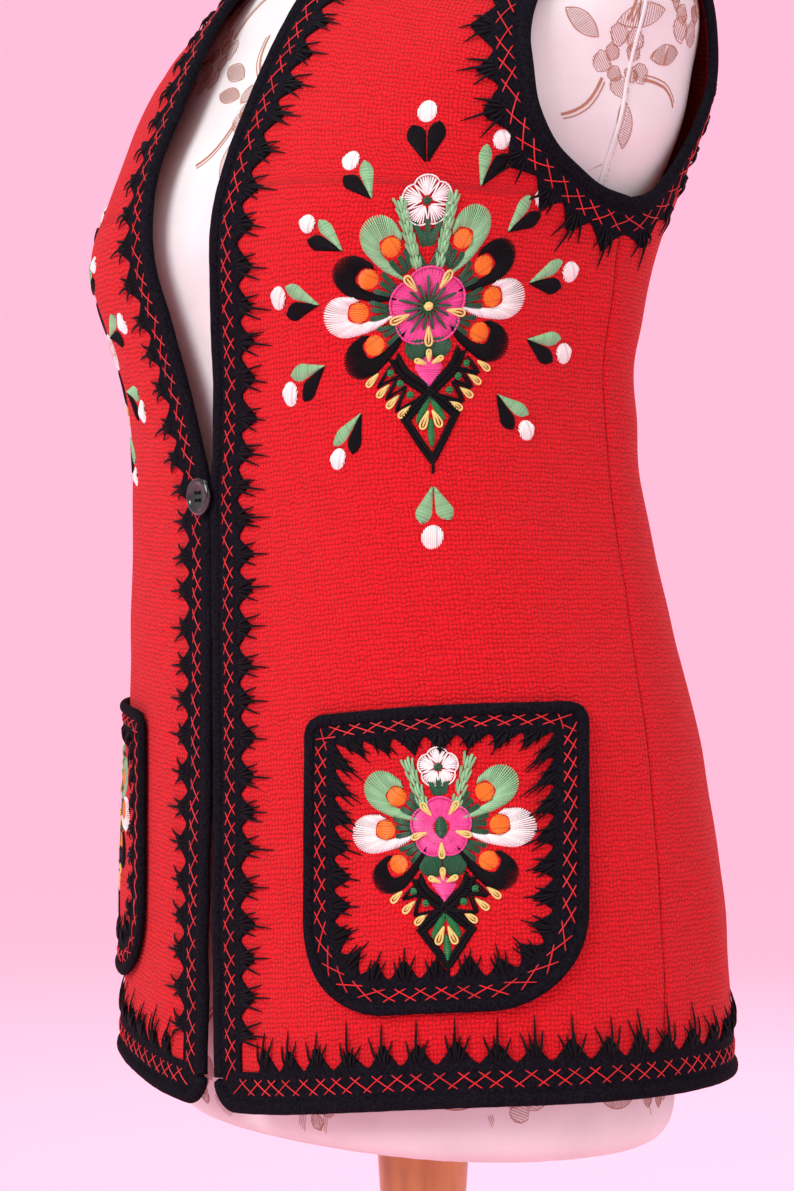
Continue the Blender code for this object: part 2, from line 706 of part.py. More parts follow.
def form_torso(place, cutters):
    """The form's body, inside the vest, closed at the shoulder line and underneath, with its neck."""
    rows = np.array([0.0, 0.09, 0.18, 0.26, 0.33, 0.40, 0.46, 0.52, 0.58, 0.64, 0.70, 0.76, 0.82, 0.87, 0.91,
                     0.95, 0.98, 1.0])
    phi = np.arange(FORM_ANGLES) * 360 / FORM_ANGLES
    s, turn = np.meshgrid(rows, phi, indexing="ij")
    height = through(SECTIONS, s * (len(SECTIONS) - 1))[..., 0]
    side = np.abs((turn + 180) % 360 - 180)
    at_bust = np.exp(-((side - BUST_ANGLE) / 24)**2 - ((height - BUST_HEIGHT) / 0.07)**2)
    at_shoulder = np.clip((height - 0.80) / 0.06, 0, 1)
    at_shoulder = at_shoulder * at_shoulder * (3 - 2 * at_shoulder)
    at_hem = np.clip((0.40 - height) / 0.11, 0, 1)**2
    ease = FORM_EASE * (1 - at_bust) * (1 - at_shoulder) + (FORM_HEM_INSET - FORM_EASE) * at_hem
    at_neck = at_shoulder * np.exp(-(figure(s, turn)[..., 0] / 0.08)**2)
    body = cloth(np.minimum(s, 1 - 1e-4), turn, -(FORM_INSET + ease + FORM_NECK_EASE * at_neck))
    body[-1] = (body[-1] + body[-1, (FORM_ANGLES // 2 - np.arange(FORM_ANGLES)) % FORM_ANGLES]) / 2
    low = body[0].copy()
    middle = low[:, :2].mean(axis=0)
    foot = []
    for k in (3, 2, 1, 0):
        angle = math.radians(90 * k / 3)
        inward = FORM_BOTTOM_ROUND * (1 - math.sin(angle))
        ring = low.copy()
        ring[:, :2] -= unit(low[:, :2] - middle) * inward
        lowest = FORM_BOTTOM + FORM_BOTTOM_ROUND * 0.6 * (1 - math.cos(angle))
        ring[:, 2] = lowest if k < 3 else low[:, 2] * 0.35 + lowest * 0.65
        foot.append(ring)
    rings = np.concatenate([np.array(foot)[::-1], body])
    count = len(rings)
    points = rings.reshape(-1, 3)
    faces = []
    for i in range(count - 1):
        for j in range(FORM_ANGLES):
            n = (j + 1) % FORM_ANGLES
            faces.append((i * FORM_ANGLES + j, i * FORM_ANGLES + n, (i + 1) * FORM_ANGLES + n,
                          (i + 1) * FORM_ANGLES + j))
    faces.append(tuple(reversed(range(FORM_ANGLES))))
    built = bmesh.new()
    corners = [built.verts.new(tuple(map(float, point))) for point in points]
    for face in faces:
        built.faces.new([corners[k] for k in face])
    bmesh.ops.remove_doubles(built, verts=built.verts, dist=0.0005)
    bmesh.ops.dissolve_degenerate(built, edges=built.edges, dist=0.00001)
    mesh = bpy.data.meshes.new("form_torso")
    built.to_mesh(mesh)
    built.free()
    made = add_object("form_torso", mesh, *place)
    profile = [(0.0, NECK_TOP), *arc((NECK_HALF_WIDTH - NECK_ROUND, NECK_TOP - NECK_ROUND), NECK_ROUND, 90, 0, 3),
               (NECK_HALF_WIDTH, 0.93), (NECK_HALF_WIDTH * 1.04, 0.90), (NECK_HALF_WIDTH * 0.9, 0.85), (0.0, 0.85)]
    neck = turned("form_neck", profile, 24, (place[0], None, cutters), (0.0, NECK_Y))
    neck.scale = (1.0, NECK_HALF_DEPTH / NECK_HALF_WIDTH, 1.0)
    neck.hide_render = True
    neck.display_type = "WIRE"
    join = made.modifiers.new("neck", "BOOLEAN")
    join.operation = "UNION"
    join.object = neck
    join.solver = "EXACT"
    return made


def stand(finish, parent, collection):
    """The turned post and the round base it stands on."""
    floor = BASE_THICKNESS + SEAM_GAP
    top = FORM_BOTTOM - SEAM_GAP
    profile = [(0.0, top), (POST_TOP_RADIUS - 0.001, top), (POST_TOP_RADIUS, top - 0.001),
               (POST_RADIUS + 0.0015, top - 0.045), (POST_RADIUS, top - 0.10), (POST_RADIUS, floor + 0.07),
               (POST_RADIUS + 0.003, floor + 0.035), (POST_RADIUS + 0.010, floor + 0.012),
               (POST_RADIUS + 0.013, floor + 0.002), (POST_RADIUS + 0.012, floor), (0.0, floor)]
    turned("stand_post", profile, 24, (finish, parent, collection))
    edge = BASE_RADIUS - BASE_ROUND
    profile = [(0.0, BASE_THICKNESS), (BASE_RADIUS * 0.62, BASE_THICKNESS), (edge, BASE_THICKNESS - 0.004),
               *arc((edge, BASE_ROUND + 0.002), BASE_ROUND, 60, 0, 2), (BASE_RADIUS, BASE_ROUND),
               (BASE_RADIUS - 0.002, 0.0), (0.0, 0.0)]
    turned("stand_base", profile, 32, (finish, parent, collection))


def build():
    for left_over in list(bpy.data.objects):
        bpy.data.objects.remove(left_over, do_unlink=True)
    pieces = bpy.data.collections.new("embroidered_vest_on_dress_form")
    cutters = bpy.data.collections.new("cutters")
    bpy.context.scene.collection.children.link(pieces)
    bpy.context.scene.collection.children.link(cutters)
    origin = bpy.data.objects.new("vest_origin", None)
    pieces.objects.link(origin)

    wool = (material("red_wool", (0.62, 0.010, 0.014), 0.95), origin, pieces)
    felt = (material("black_felt", (0.010, 0.009, 0.013), 0.98), origin, pieces)
    glossy = (material("black_button", (0.012, 0.012, 0.014), 0.30), origin, pieces)
    cover = (material("printed_cover", (0.83, 0.79, 0.77), 0.85), origin, pieces)
    wood = material("turned_wood", (0.50, 0.22, 0.06), 0.45)

    paths = {"front": front_path(), "hem": hem_path(), "armhole": armhole_path(), "neck": neck_path()}
    back_panel(paths, wool)
    for side, word in ((1, "left"), (-1, "right")):
        front_panel(paths, side, wool, "vest_front_" + word)
        front = paths["front"]
        felt_band("felt_front_" + word, front, SEAM_GAP, front.length - SEAM_GAP, side, felt, (False, True))
        edge_roll("binding_front_" + word, front, ROLL_END, front.length - HEM_CORNER_RADIUS - CORNER_GAP, side, felt)
        hole = paths["armhole"]
        felt_band("felt_armhole_" + word, hole, 0.0, hole.length, side, felt, closed=True)
        edge_roll("binding_armhole_" + word, hole, 0.0, hole.length, side, felt, closed=True)
        pocket_patch("pocket_" + word, side, wool)
        pocket_felt("pocket_felt_" + word, side, felt)
        pocket_roll("pocket_binding_" + word, side, felt)
    hem = paths["hem"]
    felt_band("felt_hem", hem, SEAM_GAP, hem.length - SEAM_GAP, 1, felt, (True, True))
    hem_roll(paths, felt)
    neck = paths["neck"]
    felt_band("felt_neck_back", neck, SEAM_GAP, neck.length - SEAM_GAP, 1, felt)
    edge_roll("binding_neck_back", neck, ROLL_END, neck.length - ROLL_END, 1, felt)
    button(glossy, cutters)
    form_torso(cover, cutters)
    stand(wood, origin, pieces)


build()
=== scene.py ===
"""
Looks of the embroidered wool vest on its dress form. Metres, +Z up, the wearer faces -Y and the
wearer's left is +X. The cloth is one smooth surface through a table of sections, and every piece of
the vest is a stretch of it, moved out along its normal.
"""
import math

import bpy
import numpy as np
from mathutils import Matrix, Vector


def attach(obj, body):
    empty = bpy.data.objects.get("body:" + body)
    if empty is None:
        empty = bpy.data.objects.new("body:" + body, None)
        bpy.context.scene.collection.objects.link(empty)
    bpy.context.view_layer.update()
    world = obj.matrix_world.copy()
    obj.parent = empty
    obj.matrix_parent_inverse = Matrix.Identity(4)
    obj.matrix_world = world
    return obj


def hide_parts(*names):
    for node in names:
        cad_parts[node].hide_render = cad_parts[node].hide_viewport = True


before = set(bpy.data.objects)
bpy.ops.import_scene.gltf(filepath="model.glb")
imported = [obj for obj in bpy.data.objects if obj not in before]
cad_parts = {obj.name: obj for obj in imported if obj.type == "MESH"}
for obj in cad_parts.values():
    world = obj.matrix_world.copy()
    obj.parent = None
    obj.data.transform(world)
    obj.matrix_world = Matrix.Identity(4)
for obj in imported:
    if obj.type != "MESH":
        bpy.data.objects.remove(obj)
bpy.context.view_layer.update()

dice = np.random.default_rng(7)

# Cloth and trim, in metres
CLOTH_WALL = 0.0022
FELT_WALL = 0.0012
POCKET_WALL = 0.0016
ROLL_RADIUS = 0.00325
ROLL_WIDE = 0.0034
ROLL_FLAT = 0.76
ROLL_OUT = 0.0008
CLOTH_EDGE = 0.0022
FELT_EDGE = 0.0030
FELT_OUT = 0.0004
SEAM_HALF = 0.00025
ROLL_END = 0.0002
HEM_CORNER_RADIUS = 0.012
TOOTH_PITCH = 0.0175
VALLEY = 0.0165
TIP = 0.0262

SECTION_COLUMNS = ("height", "half_width", "front_depth", "front_square", "back_depth", "back_square",
                   "middle_y", "slope", "lift")
SECTIONS = np.array([
    (0.2860, 0.178, 0.132, 0.07, 0.129, 0.02, 0.000, 0.000, 0.015),
    (0.3600, 0.175, 0.132, 0.07, 0.125, 0.02, 0.000, 0.000, 0.014),
    (0.4420, 0.166, 0.131, 0.10, 0.111, 0.02, 0.000, 0.000, 0.012),
    (0.5040, 0.154, 0.131, 0.16, 0.092, 0.02, 0.000, 0.000, 0.010),
    (0.5700, 0.141, 0.131, 0.22, 0.075, 0.02, 0.000, 0.000, 0.008),
    (0.6200, 0.136, 0.136, 0.22, 0.071, 0.02, 0.000, 0.000, 0.006),
    (0.6600, 0.139, 0.143, 0.20, 0.076, 0.02, 0.000, 0.000, 0.004),
    (0.7030, 0.146, 0.150, 0.18, 0.083, 0.03, 0.001, 0.050, 0.002),
    (0.7400, 0.154, 0.146, 0.17, 0.089, 0.05, 0.003, 0.120, 0.000),
    (0.7750, 0.161, 0.134, 0.20, 0.095, 0.07, 0.006, 0.200, 0.000),
    (0.8050, 0.163, 0.122, 0.23, 0.098, 0.10, 0.009, 0.270, 0.000),
    (0.8320, 0.162, 0.108, 0.23, 0.095, 0.12, 0.012, 0.320, 0.000),
    (0.8570, 0.161, 0.086, 0.20, 0.084, 0.14, 0.014, 0.350, 0.000),
    (0.8800, 0.159, 0.061, 0.20, 0.064, 0.14, 0.016, 0.370, 0.000),
    (0.8970, 0.158, 0.033, 0.20, 0.037, 0.14, 0.018, 0.385, 0.000),
    (0.9037, 0.158, 0.000, 0.20, 0.000, 0.14, 0.018, 0.390, 0.000),
])
SLOPE_ROUNDING = 0.040
LIFT_SPREAD = 33.0
BUST_ANGLE = 34.0
BUST_SPREAD = 20.0
BUST_HEIGHT = 0.690
BUST_ABOVE = 0.050
BUST_BELOW = 0.040
BUST_OUT = 0.010

# The front edge and the V neck: height and half the distance between the two rolls' middle lines
FRONT_EDGE = np.array([
    (0.286, 0.0075), (0.360, 0.0062), (0.440, 0.0050), (0.520, 0.0040), (0.575, 0.0037), (0.600, 0.0080),
    (0.625, 0.0135), (0.663, 0.0215), (0.703, 0.0290), (0.743, 0.0330), (0.783, 0.0345), (0.823, 0.0360),
    (0.857, 0.0430), (0.882, 0.0550), (0.9037, 0.0715),
])
# The armhole: row height and angle round, up the front from its lowest point, then down the back
ARMHOLE_FRONT = np.array([
    (0.7237, 90.0), (0.7285, 83.5), (0.7395, 77.4), (0.7540, 71.0), (0.7755, 65.0), (0.8000, 60.9),
    (0.8200, 57.6), (0.8435, 55.4), (0.8620, 55.9), (0.8770, 58.2), (0.8920, 62.0), (0.9037, 65.5),
])
ARMHOLE_BACK = np.array([
    (0.9037, 114.5), (0.8920, 116.6), (0.8720, 118.6), (0.8450, 118.9), (0.8120, 116.8), (0.7780, 112.4),
    (0.7530, 107.6), (0.7370, 102.2), (0.7280, 96.6), (0.7237, 90.0),
])
BACK_NECK_HEIGHT = 0.871

# The pockets, in lengths along the cloth from the centre front and in row heights
POCKET_MIDDLE = 0.1355
POCKET_WIDTH = 0.1370
POCKET_HEIGHT = 0.1440
POCKET_FOOT = 0.3270
POCKET_TOP_RADIUS = 0.010
POCKET_BOTTOM_RADIUS = 0.046
POCKET_OUT = 0.0006
POCKET_ROLL_OUT = 0.0031
POCKET_FELT_OUT = 0.0024
POCKET_VALLEY = 0.0135
POCKET_TIP = 0.0205

# Soft folds of the cloth: row height and angle of both ends, width and rise
FOLDS = np.array([
    (0.600, 95.0, 0.622, 150.0, 0.014, 0.0020), (0.633, 88.0, 0.648, 135.0, 0.013, -0.0016),
    (0.598, 158.0, 0.606, 205.0, 0.013, 0.0026), (0.628, 150.0, 0.632, 196.0, 0.012, -0.0020),
    (0.655, 165.0, 0.650, 215.0, 0.014, 0.0020), (0.600, 208.0, 0.618, 262.0, 0.014, 0.0022),
    (0.636, 215.0, 0.646, 268.0, 0.012, -0.0016), (0.300, 142.0, 0.470, 152.0, 0.020, 0.0038),
    (0.300, 170.0, 0.430, 172.0, 0.018, -0.0026), (0.300, 203.0, 0.460, 198.0, 0.021, 0.0036),
    (0.300, 238.0, 0.440, 232.0, 0.018, 0.0026), (0.300, 112.0, 0.410, 108.0, 0.017, 0.0024),
    (0.300, 258.0, 0.400, 262.0, 0.016, -0.0018), (0.582, 6.0, 0.640, 30.0, 0.011, 0.0011),
    (0.560, 8.0, 0.520, 40.0, 0.013, -0.0010), (0.582, -6.0, 0.636, -28.0, 0.011, 0.0010),
    (0.700, 80.0, 0.655, 100.0, 0.012, 0.0014), (0.700, -80.0, 0.650, -104.0, 0.012, 0.0014),
    (0.760, 128.0, 0.700, 140.0, 0.016, 0.0018), (0.765, 232.0, 0.705, 222.0, 0.016, 0.0018),
    (0.300, 66.0, 0.400, 74.0, 0.016, 0.0012), (0.300, -62.0, 0.420, -72.0, 0.017, 0.0016),
    (0.845, 150.0, 0.800, 165.0, 0.014, 0.0010), (0.500, 62.0, 0.470, 84.0, 0.015, 0.0009),
])
WORN_WAVE = 0.00045
FINE_WAVE = 0.00020


def curve_through(padded, spot):
    """
    Catmull-Rom values at a row count that need not be whole, of rows with one more before and after:
    half of 2 p1 + (p2 - p0) f + (2 p0 - 5 p1 + 4 p2 - p3) f^2 + (3 p1 - p0 - 3 p2 + p3) f^3.
    """
    i = np.clip(spot.astype(int), 0, len(padded) - 4)
    f = (spot - i)[..., None]
    p0, p1, p2, p3 = (padded[i + k] for k in range(4))
    return 0.5 * (2 * p1 + (p2 - p0) * f + (2 * p0 - 5 * p1 + 4 * p2 - p3) * f**2
                  + (3 * p1 - p0 - 3 * p2 + p3) * f**3)


def through(table, t):
    """Smooth values of the section table at t, counted in rows, the depths running on down the other face."""
    after = table[-2:-1] * np.where([name.endswith("depth") for name in SECTION_COLUMNS], -1, 1)
    return curve_through(np.concatenate([2 * table[:1] - table[1:2], table, after]), t)


def smooth_table(table, spot):
    """Smooth values of a table at a row count that need not be whole."""
    before, after = 2 * table[:1] - table[1:2], 2 * table[-1:] - table[-2:-1]
    return curve_through(np.concatenate([before, table, after]), spot)


def figure(s, phi):
    """
    The cloth's smooth face at s, 0 on the hem and 1 on the shoulder line, and phi, degrees round
    from the centre front to the wearer's left: each section is an ellipse with its corners pushed
    out, sloped at the shoulders and lifted at the sides, with a rounded bust. s above 1 goes down
    the other face.
    """
    s, phi = np.broadcast_arrays(np.asarray(s, float), np.asarray(phi, float))
    phi = np.where(s > 1, np.copysign(180, phi) - phi, phi)
    s = np.where(s > 1, 2 - s, s)
    h, a, df, cf, db, cb, yc, slope, lift = np.moveaxis(through(SECTIONS, s * (len(SECTIONS) - 1)), -1, 0)
    angle = np.radians(phi)
    front = np.cos(angle) > 0
    depth = np.where(front, df, db)
    square = np.where(front, cf, cb)
    x = a * np.sin(angle) * (1 + square * np.cos(angle)**2)
    y = yc - depth * np.cos(angle) * (1 + square * np.sin(angle)**2)
    turn = np.abs((phi + 180) % 360 - 180)
    z = h - slope * (np.hypot(x, SLOPE_ROUNDING) - SLOPE_ROUNDING)
    z = z + lift * (1 - np.exp(-(turn / LIFT_SPREAD)**2))
    across = (turn - BUST_ANGLE) / BUST_SPREAD
    rise = h - BUST_HEIGHT
    rise = rise / np.where(rise > 0, BUST_ABOVE, BUST_BELOW)
    out = BUST_OUT * np.exp(-across**2 - rise**2)
    aim = math.radians(BUST_ANGLE)
    return np.stack([x + out * math.sin(aim) * np.sign(x), y - out * math.cos(aim), z], -1)


def tangents(s, phi, step=1e-4):
    """The figure's tangents along s and along phi in radians, as differences over a small step."""
    along = (figure(s + step, phi) - figure(s - step, phi)) / (2 * step)
    turn = math.degrees(step)
    around = (figure(s, phi + turn) - figure(s, phi - turn)) / (2 * step)
    return along, around


def unit(vectors):
    return vectors / np.maximum(np.linalg.norm(vectors, axis=-1, keepdims=True), 1e-12)


def row_of(height):
    """The s whose row has a height at the centre front."""
    s = np.linspace(0, 1, 1501)
    return np.interp(height, through(SECTIONS, s * (len(SECTIONS) - 1))[:, 0], s)


FOLD_ENDS = [figure(row_of(FOLDS[:, k]), FOLDS[:, k + 1]) for k in (0, 2)]


def folds(points):
    """
    How far the cloth stands out of the smooth face: for each fold a rounded ridge or trough about the
    line between its ends, fading towards both, and a slow and a finer wave as of worn cloth.
    """
    x, y, z = np.moveaxis(points, -1, 0)
    out = WORN_WAVE * np.sin(52 * x + 3 * np.sin(27 * z)) * np.sin(43 * z + 2 * np.sin(36 * y))
    out += FINE_WAVE * np.sin(131 * z + 4 * np.sin(61 * x)) * np.sin(97 * x + 83 * y)
    for a, b, width, rise in zip(*FOLD_ENDS, FOLDS[:, 4], FOLDS[:, 5]):
        line = b - a
        f = np.clip(((points - a) @ line) / (line @ line), 0, 1)
        off = np.linalg.norm(points - (a + f[..., None] * line), axis=-1)
        out += rise * (0.25 + 0.75 * np.sin(math.pi * f)) * np.exp(-(off / width)**2)
    return out


def level(s, phi, out):
    """A point of the smooth figure, without folds, moved out along its normal."""
    along, around = tangents(s, phi)
    return figure(s, phi) + np.asarray(out)[..., None] * unit(np.cross(around, along))


def cloth(s, phi, out=0.0, normals=False):
    """A point of the folded cloth moved out along the normal, and the normal if it is asked for."""
    along, around = tangents(s, phi)
    normal = unit(np.cross(around, along))
    points = figure(s, phi)
    lifted = points + (np.asarray(out) + folds(points))[..., None] * normal
    return (lifted, normal) if normals else lifted


def walk(s, phi, direction, length, steps=4):
    """The s and phi reached by going the length over the figure in a direction, in small steps."""
    size = np.linalg.norm(direction, axis=-1)
    for _ in range(steps):
        along, around = tangents(s, phi)
        normal = unit(np.cross(around, along))
        flat = unit(direction - (direction * normal).sum(-1)[..., None] * normal)
        go = flat * (size * length / steps)[..., None]
        aa = (along * along).sum(-1)
        ab = (along * around).sum(-1)
        bb = (around * around).sum(-1)
        ga = (go * along).sum(-1)
        gb = (go * around).sum(-1)
        area = aa * bb - ab**2
        s = s + (ga * bb - gb * ab) / area
        phi = phi + np.degrees((gb * aa - ga * ab) / area)
    return s, phi


def turn_to(s, x):
    """The angle at which the front's row s reaches a given x, by halving."""
    low = np.zeros_like(s)
    high = np.full_like(s, 90.0)
    for _ in range(32):
        middle = (low + high) / 2
        short = figure(s, middle)[..., 0] < x
        low = np.where(short, middle, low)
        high = np.where(short, high, middle)
    return (low + high) / 2


def even_curve(points, count):
    """Points at even distances along a smooth curve through the given ones."""
    points = np.asarray(points, float)
    fine = smooth_table(points, np.linspace(0, len(points) - 1, 40 * len(points)))
    run = np.concatenate([[0], np.cumsum(np.linalg.norm(np.diff(fine, axis=0), axis=-1))])
    at = np.linspace(0, run[-1], count)
    return np.stack([np.interp(at, run, fine[:, k]) for k in range(fine.shape[1])], -1)


class Path:
    """A line on the cloth, dense points of s and phi, with the cloth on its left seen from outside."""

    def __init__(self, s, phi, closed=False):
        points = figure(s, phi)
        if closed:
            points = np.concatenate([points, points[:1]])
            s = np.append(s, s[0])
            phi = np.append(phi, phi[0])
        self.s, self.phi, self.closed = s, phi, closed
        steps = np.linalg.norm(np.diff(points, axis=0), axis=-1)
        self.run = np.concatenate([[0], np.cumsum(steps)])
        self.points = points
        self.length = self.run[-1]

    def at(self, t):
        t = np.mod(t, self.length) if self.closed else t
        return np.interp(t, self.run, self.s), np.interp(t, self.run, self.phi)

    def point(self, t):
        t = np.mod(t, self.length) if self.closed else t
        return np.stack([np.interp(t, self.run, self.points[:, k]) for k in range(3)], -1)

    def beside(self, t, distance, reach=0.004):
        """The s and phi at a distance to the left of the line."""
        low, high = t - reach, t + reach
        if not self.closed:
            low, high = np.maximum(low, 0), np.minimum(high, self.length)
        ahead = unit(self.point(high) - self.point(low))
        s, phi = self.at(t)
        along, around = tangents(s, phi)
        left = unit(np.cross(unit(np.cross(around, along)), ahead))
        return walk(s, phi, left, distance)


def front_path():
    rows = smooth_table(FRONT_EDGE, np.linspace(len(FRONT_EDGE) - 1, 0, 500))
    s = row_of(rows[:, 0])
    return Path(s, turn_to(s, rows[:, 1]))


def hem_path():
    corner = turn_to(np.zeros(1), FRONT_EDGE[0, 1])[0]
    phi = np.linspace(corner, 360 - corner, 900)
    return Path(np.zeros_like(phi), phi)


def armhole_path():
    halves = [smooth_table(table, np.linspace(0, len(table) - 1, 240))
              for table in (ARMHOLE_FRONT, ARMHOLE_BACK)]
    rows = np.concatenate(halves)
    return Path(row_of(rows[:, 0]), rows[:, 1], closed=True)


def neck_path():
    start = turn_to(np.ones(1), FRONT_EDGE[-1, 1])[0]
    across = np.linspace(-1, 1, 200)
    low = row_of(BACK_NECK_HEIGHT)
    s = low + (1 - low) * (1 - np.sqrt(np.maximum(1 - np.abs(across)**2.4, 0)))
    return Path(s, 180 - across * start)


PATHS = {"front": front_path(), "hem": hem_path(), "armhole": armhole_path(), "neck": neck_path()}


# Meshes

def quad_grid(rows, columns, wrap=False):
    """Corner rows and columns of the quads of a grid, the columns counted past the end where they wrap."""
    i, j = np.meshgrid(np.arange(rows - 1), np.arange(columns if wrap else columns - 1), indexing="ij")
    i, j = i.ravel(), j.ravel()
    return np.stack([i, i, i + 1, i + 1], -1), np.stack([j, j + 1, j + 1, j], -1)


def plain_lists(faces):
    """Groups of faces as one plain list."""
    return [face for part in faces for face in np.asarray(part, int).tolist()]


def placed(name, data):
    """An object of a mesh, a lamp or a camera, put in the scene."""
    made = bpy.data.objects.new(name, data)
    bpy.context.scene.collection.objects.link(made)
    return made


def add_mesh(name, points, faces, materials, uv=None, slots=None, sharp=50.0):
    """A mesh from points and faces of three or four corners, with a place on the cloth for every corner."""
    mesh = bpy.data.meshes.new(name)
    mesh.from_pydata(np.asarray(points, float).tolist(), [], plain_lists(faces))
    for one in materials if isinstance(materials, (list, tuple)) else [materials]:
        mesh.materials.append(one)
    if uv is not None:
        corners = np.concatenate([np.asarray(part, float).ravel() for part in uv])
        mesh.uv_layers.new(name="cloth").data.foreach_set("uv", corners)
    if slots is not None:
        mesh.polygons.foreach_set("material_index", np.asarray(slots, np.int32))
    mesh.shade_smooth()
    mesh.set_sharp_from_angle(angle=math.radians(sharp))
    made = placed(name, mesh)
    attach(made, "root")
    return made


def shell(name, outer, inner, uv, finish, wrap, nodes):
    """A closed wall between an outer and an inner grid of points, joined round their edges."""
    rows, columns = outer.shape[:2]
    points = np.concatenate([outer.reshape(-1, 3), inner.reshape(-1, 3)])
    uv = np.asarray(uv, float)
    i, j = quad_grid(rows, columns, wrap)
    face = i * columns + j % columns
    spot = uv[i, j % columns]
    under = rows * columns
    faces = [face, face[:, ::-1] + under]
    marks = [spot, spot[:, ::-1]]

    def rim(a_row, a_column, b_row, b_column):
        a = a_row * columns + a_column % columns
        b = b_row * columns + b_column % columns
        faces.append(np.stack([a, b, b + under, a + under], -1))
        one, two = uv[a_row, a_column % columns], uv[b_row, b_column % columns]
        marks.append(np.stack([one, two, two, one], 1))

    j = np.arange(columns if wrap else columns - 1)
    i = np.arange(rows - 1)
    rim(0 * j, j + 1, 0 * j, j)
    rim(0 * j + rows - 1, j, 0 * j + rows - 1, j + 1)
    if not wrap:
        rim(i, 0 * i, i + 1, 0 * i)
        rim(i + 1, 0 * i + columns - 1, i, 0 * i + columns - 1)
    made = add_mesh(name + "_cloth", points, faces, finish, marks)
    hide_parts(*nodes)
    return made


def rings(lines, ups, radii, sides, flat):
    """Rings of points round lines: each ring is an ellipse across the line, its short axis along up."""
    along = unit(np.gradient(lines, axis=1))
    side = unit(np.cross(ups, along))
    up = np.cross(along, side)
    angle = np.arange(sides) * 2 * math.pi / sides
    reach = radii[..., None, None]
    return lines[:, :, None] + reach * (np.cos(angle)[:, None] * side[:, :, None]
                                        + flat * np.sin(angle)[:, None] * up[:, :, None])


# Each thread's places along its length, in millimetres, start at its own number times this
THREAD_NUMBER = 100.0


def tube_mesh(lines, ups, radii, sides=6, flat=1.0, closed=False):
    """Points, faces and corner places of tubes along lines, closed by fans or joined end to end."""
    n, m = lines.shape[:2]
    if closed:
        padded = [np.concatenate([a[:, -2:], a, a[:, :2]], 1) for a in (lines, ups, radii)]
        ring = rings(*padded, sides, flat)[:, 2:-2]
    else:
        ring = rings(lines, ups, radii, sides, flat)
    per = m * sides + (0 if closed else 2)
    base = (np.arange(n) * per)[:, None, None]
    j, k = quad_grid(m + 1 if closed else m, sides, wrap=True)
    quads = (base + ((j % m) * sides + k % sides)[None]).reshape(-1, 4)
    steps = np.linalg.norm(np.diff(lines, axis=1, append=lines[:, :1]), axis=-1)
    run = np.concatenate([np.zeros((n, 1)), np.cumsum(steps, 1)], 1)[:, :m + 1]
    number = THREAD_NUMBER * (1 + np.arange(n))[:, None, None]
    marks = np.stack([np.broadcast_to(k / sides, (n, *k.shape)), run[:, j] * 1000 + number], -1)
    if closed:
        return ring.reshape(-1, 3), [quads], [marks.reshape(-1, 4, 2)]
    points = np.concatenate([ring.reshape(n, -1, 3), lines[:, :1], lines[:, -1:]], 1).reshape(-1, 3)
    k = np.arange(sides)
    n_k = (k + 1) % sides
    start = np.stack([0 * k + m * sides, n_k, k], -1)
    end = np.stack([0 * k + m * sides + 1, (m - 1) * sides + k, (m - 1) * sides + n_k], -1)
    fans = (base + np.concatenate([start, end])[None]).reshape(-1, 3)
    return points, [quads, fans], [marks.reshape(-1, 4, 2), np.zeros((len(fans), 3, 2))]


class Sewing:
    """Threads of several colours gathered into one piece."""

    def __init__(self):
        self.points, self.faces, self.marks, self.slots, self.colours = [], [], [], [], []
        self.count = 0

    def sew(self, ground, colour, lines, radius, flat=0.85, sides=5):
        """Threads along lines of x, y and rise in millimetres on a ground, thin at both ends."""
        lines = np.asarray(lines, float)
        if lines.size == 0:
            return
        points, ups = ground.place(lines[..., :2], lines[..., 2])
        radii = np.broadcast_to(np.asarray(radius, float), lines.shape[:2]) / 1000
        made, faces, marks = tube_mesh(points, ups, radii, sides, flat)
        if colour not in self.colours:
            self.colours.append(colour)
        self.points.append(made)
        for face, mark in zip(faces, marks):
            self.faces.append(face + self.count)
            self.marks.append(mark)
            self.slots.append(np.full(len(face), self.colours.index(colour)))
        self.count += len(made)

    def finish(self, name):
        return add_mesh(name, np.concatenate(self.points), self.faces, [THREAD[c] for c in self.colours],
                        self.marks, np.concatenate(self.slots))


# Materials

def finish(name, colour, roughness, sheen=0.0, coat=0.0, gloss=0.5):
    """A material with its one-value sockets set, its node tree and its shader."""
    made = bpy.data.materials.new(name)
    made.use_nodes = True
    shader = made.node_tree.nodes["Principled BSDF"]
    shader.inputs["Base Color"].default_value = (*colour, 1)
    shader.inputs["Roughness"].default_value = roughness
    shader.inputs["Sheen Weight"].default_value = sheen
    shader.inputs["Coat Weight"].default_value = coat
    shader.inputs["Specular IOR Level"].default_value = gloss
    made.diffuse_color = (*colour, 1)
    return made, made.node_tree, shader


def sum_up(tree, operation, *values):
    node = tree.nodes.new("ShaderNodeMath")
    node.operation = operation
    for socket, value in zip(node.inputs, values):
        if isinstance(value, bpy.types.NodeSocket):
            tree.links.new(value, socket)
        else:
            socket.default_value = value
    return node.outputs[0]


def times(tree, one, other):
    return sum_up(tree, "MULTIPLY", one, other)


def plus(tree, one, other):
    return sum_up(tree, "ADD", one, other)


def cloth_places(tree):
    """The two measures of a mesh's own cloth places."""
    split = tree.nodes.new("ShaderNodeSeparateXYZ")
    tree.links.new(tree.nodes.new("ShaderNodeTexCoord").outputs["UV"], split.inputs[0])
    return split.outputs[0], split.outputs[1]


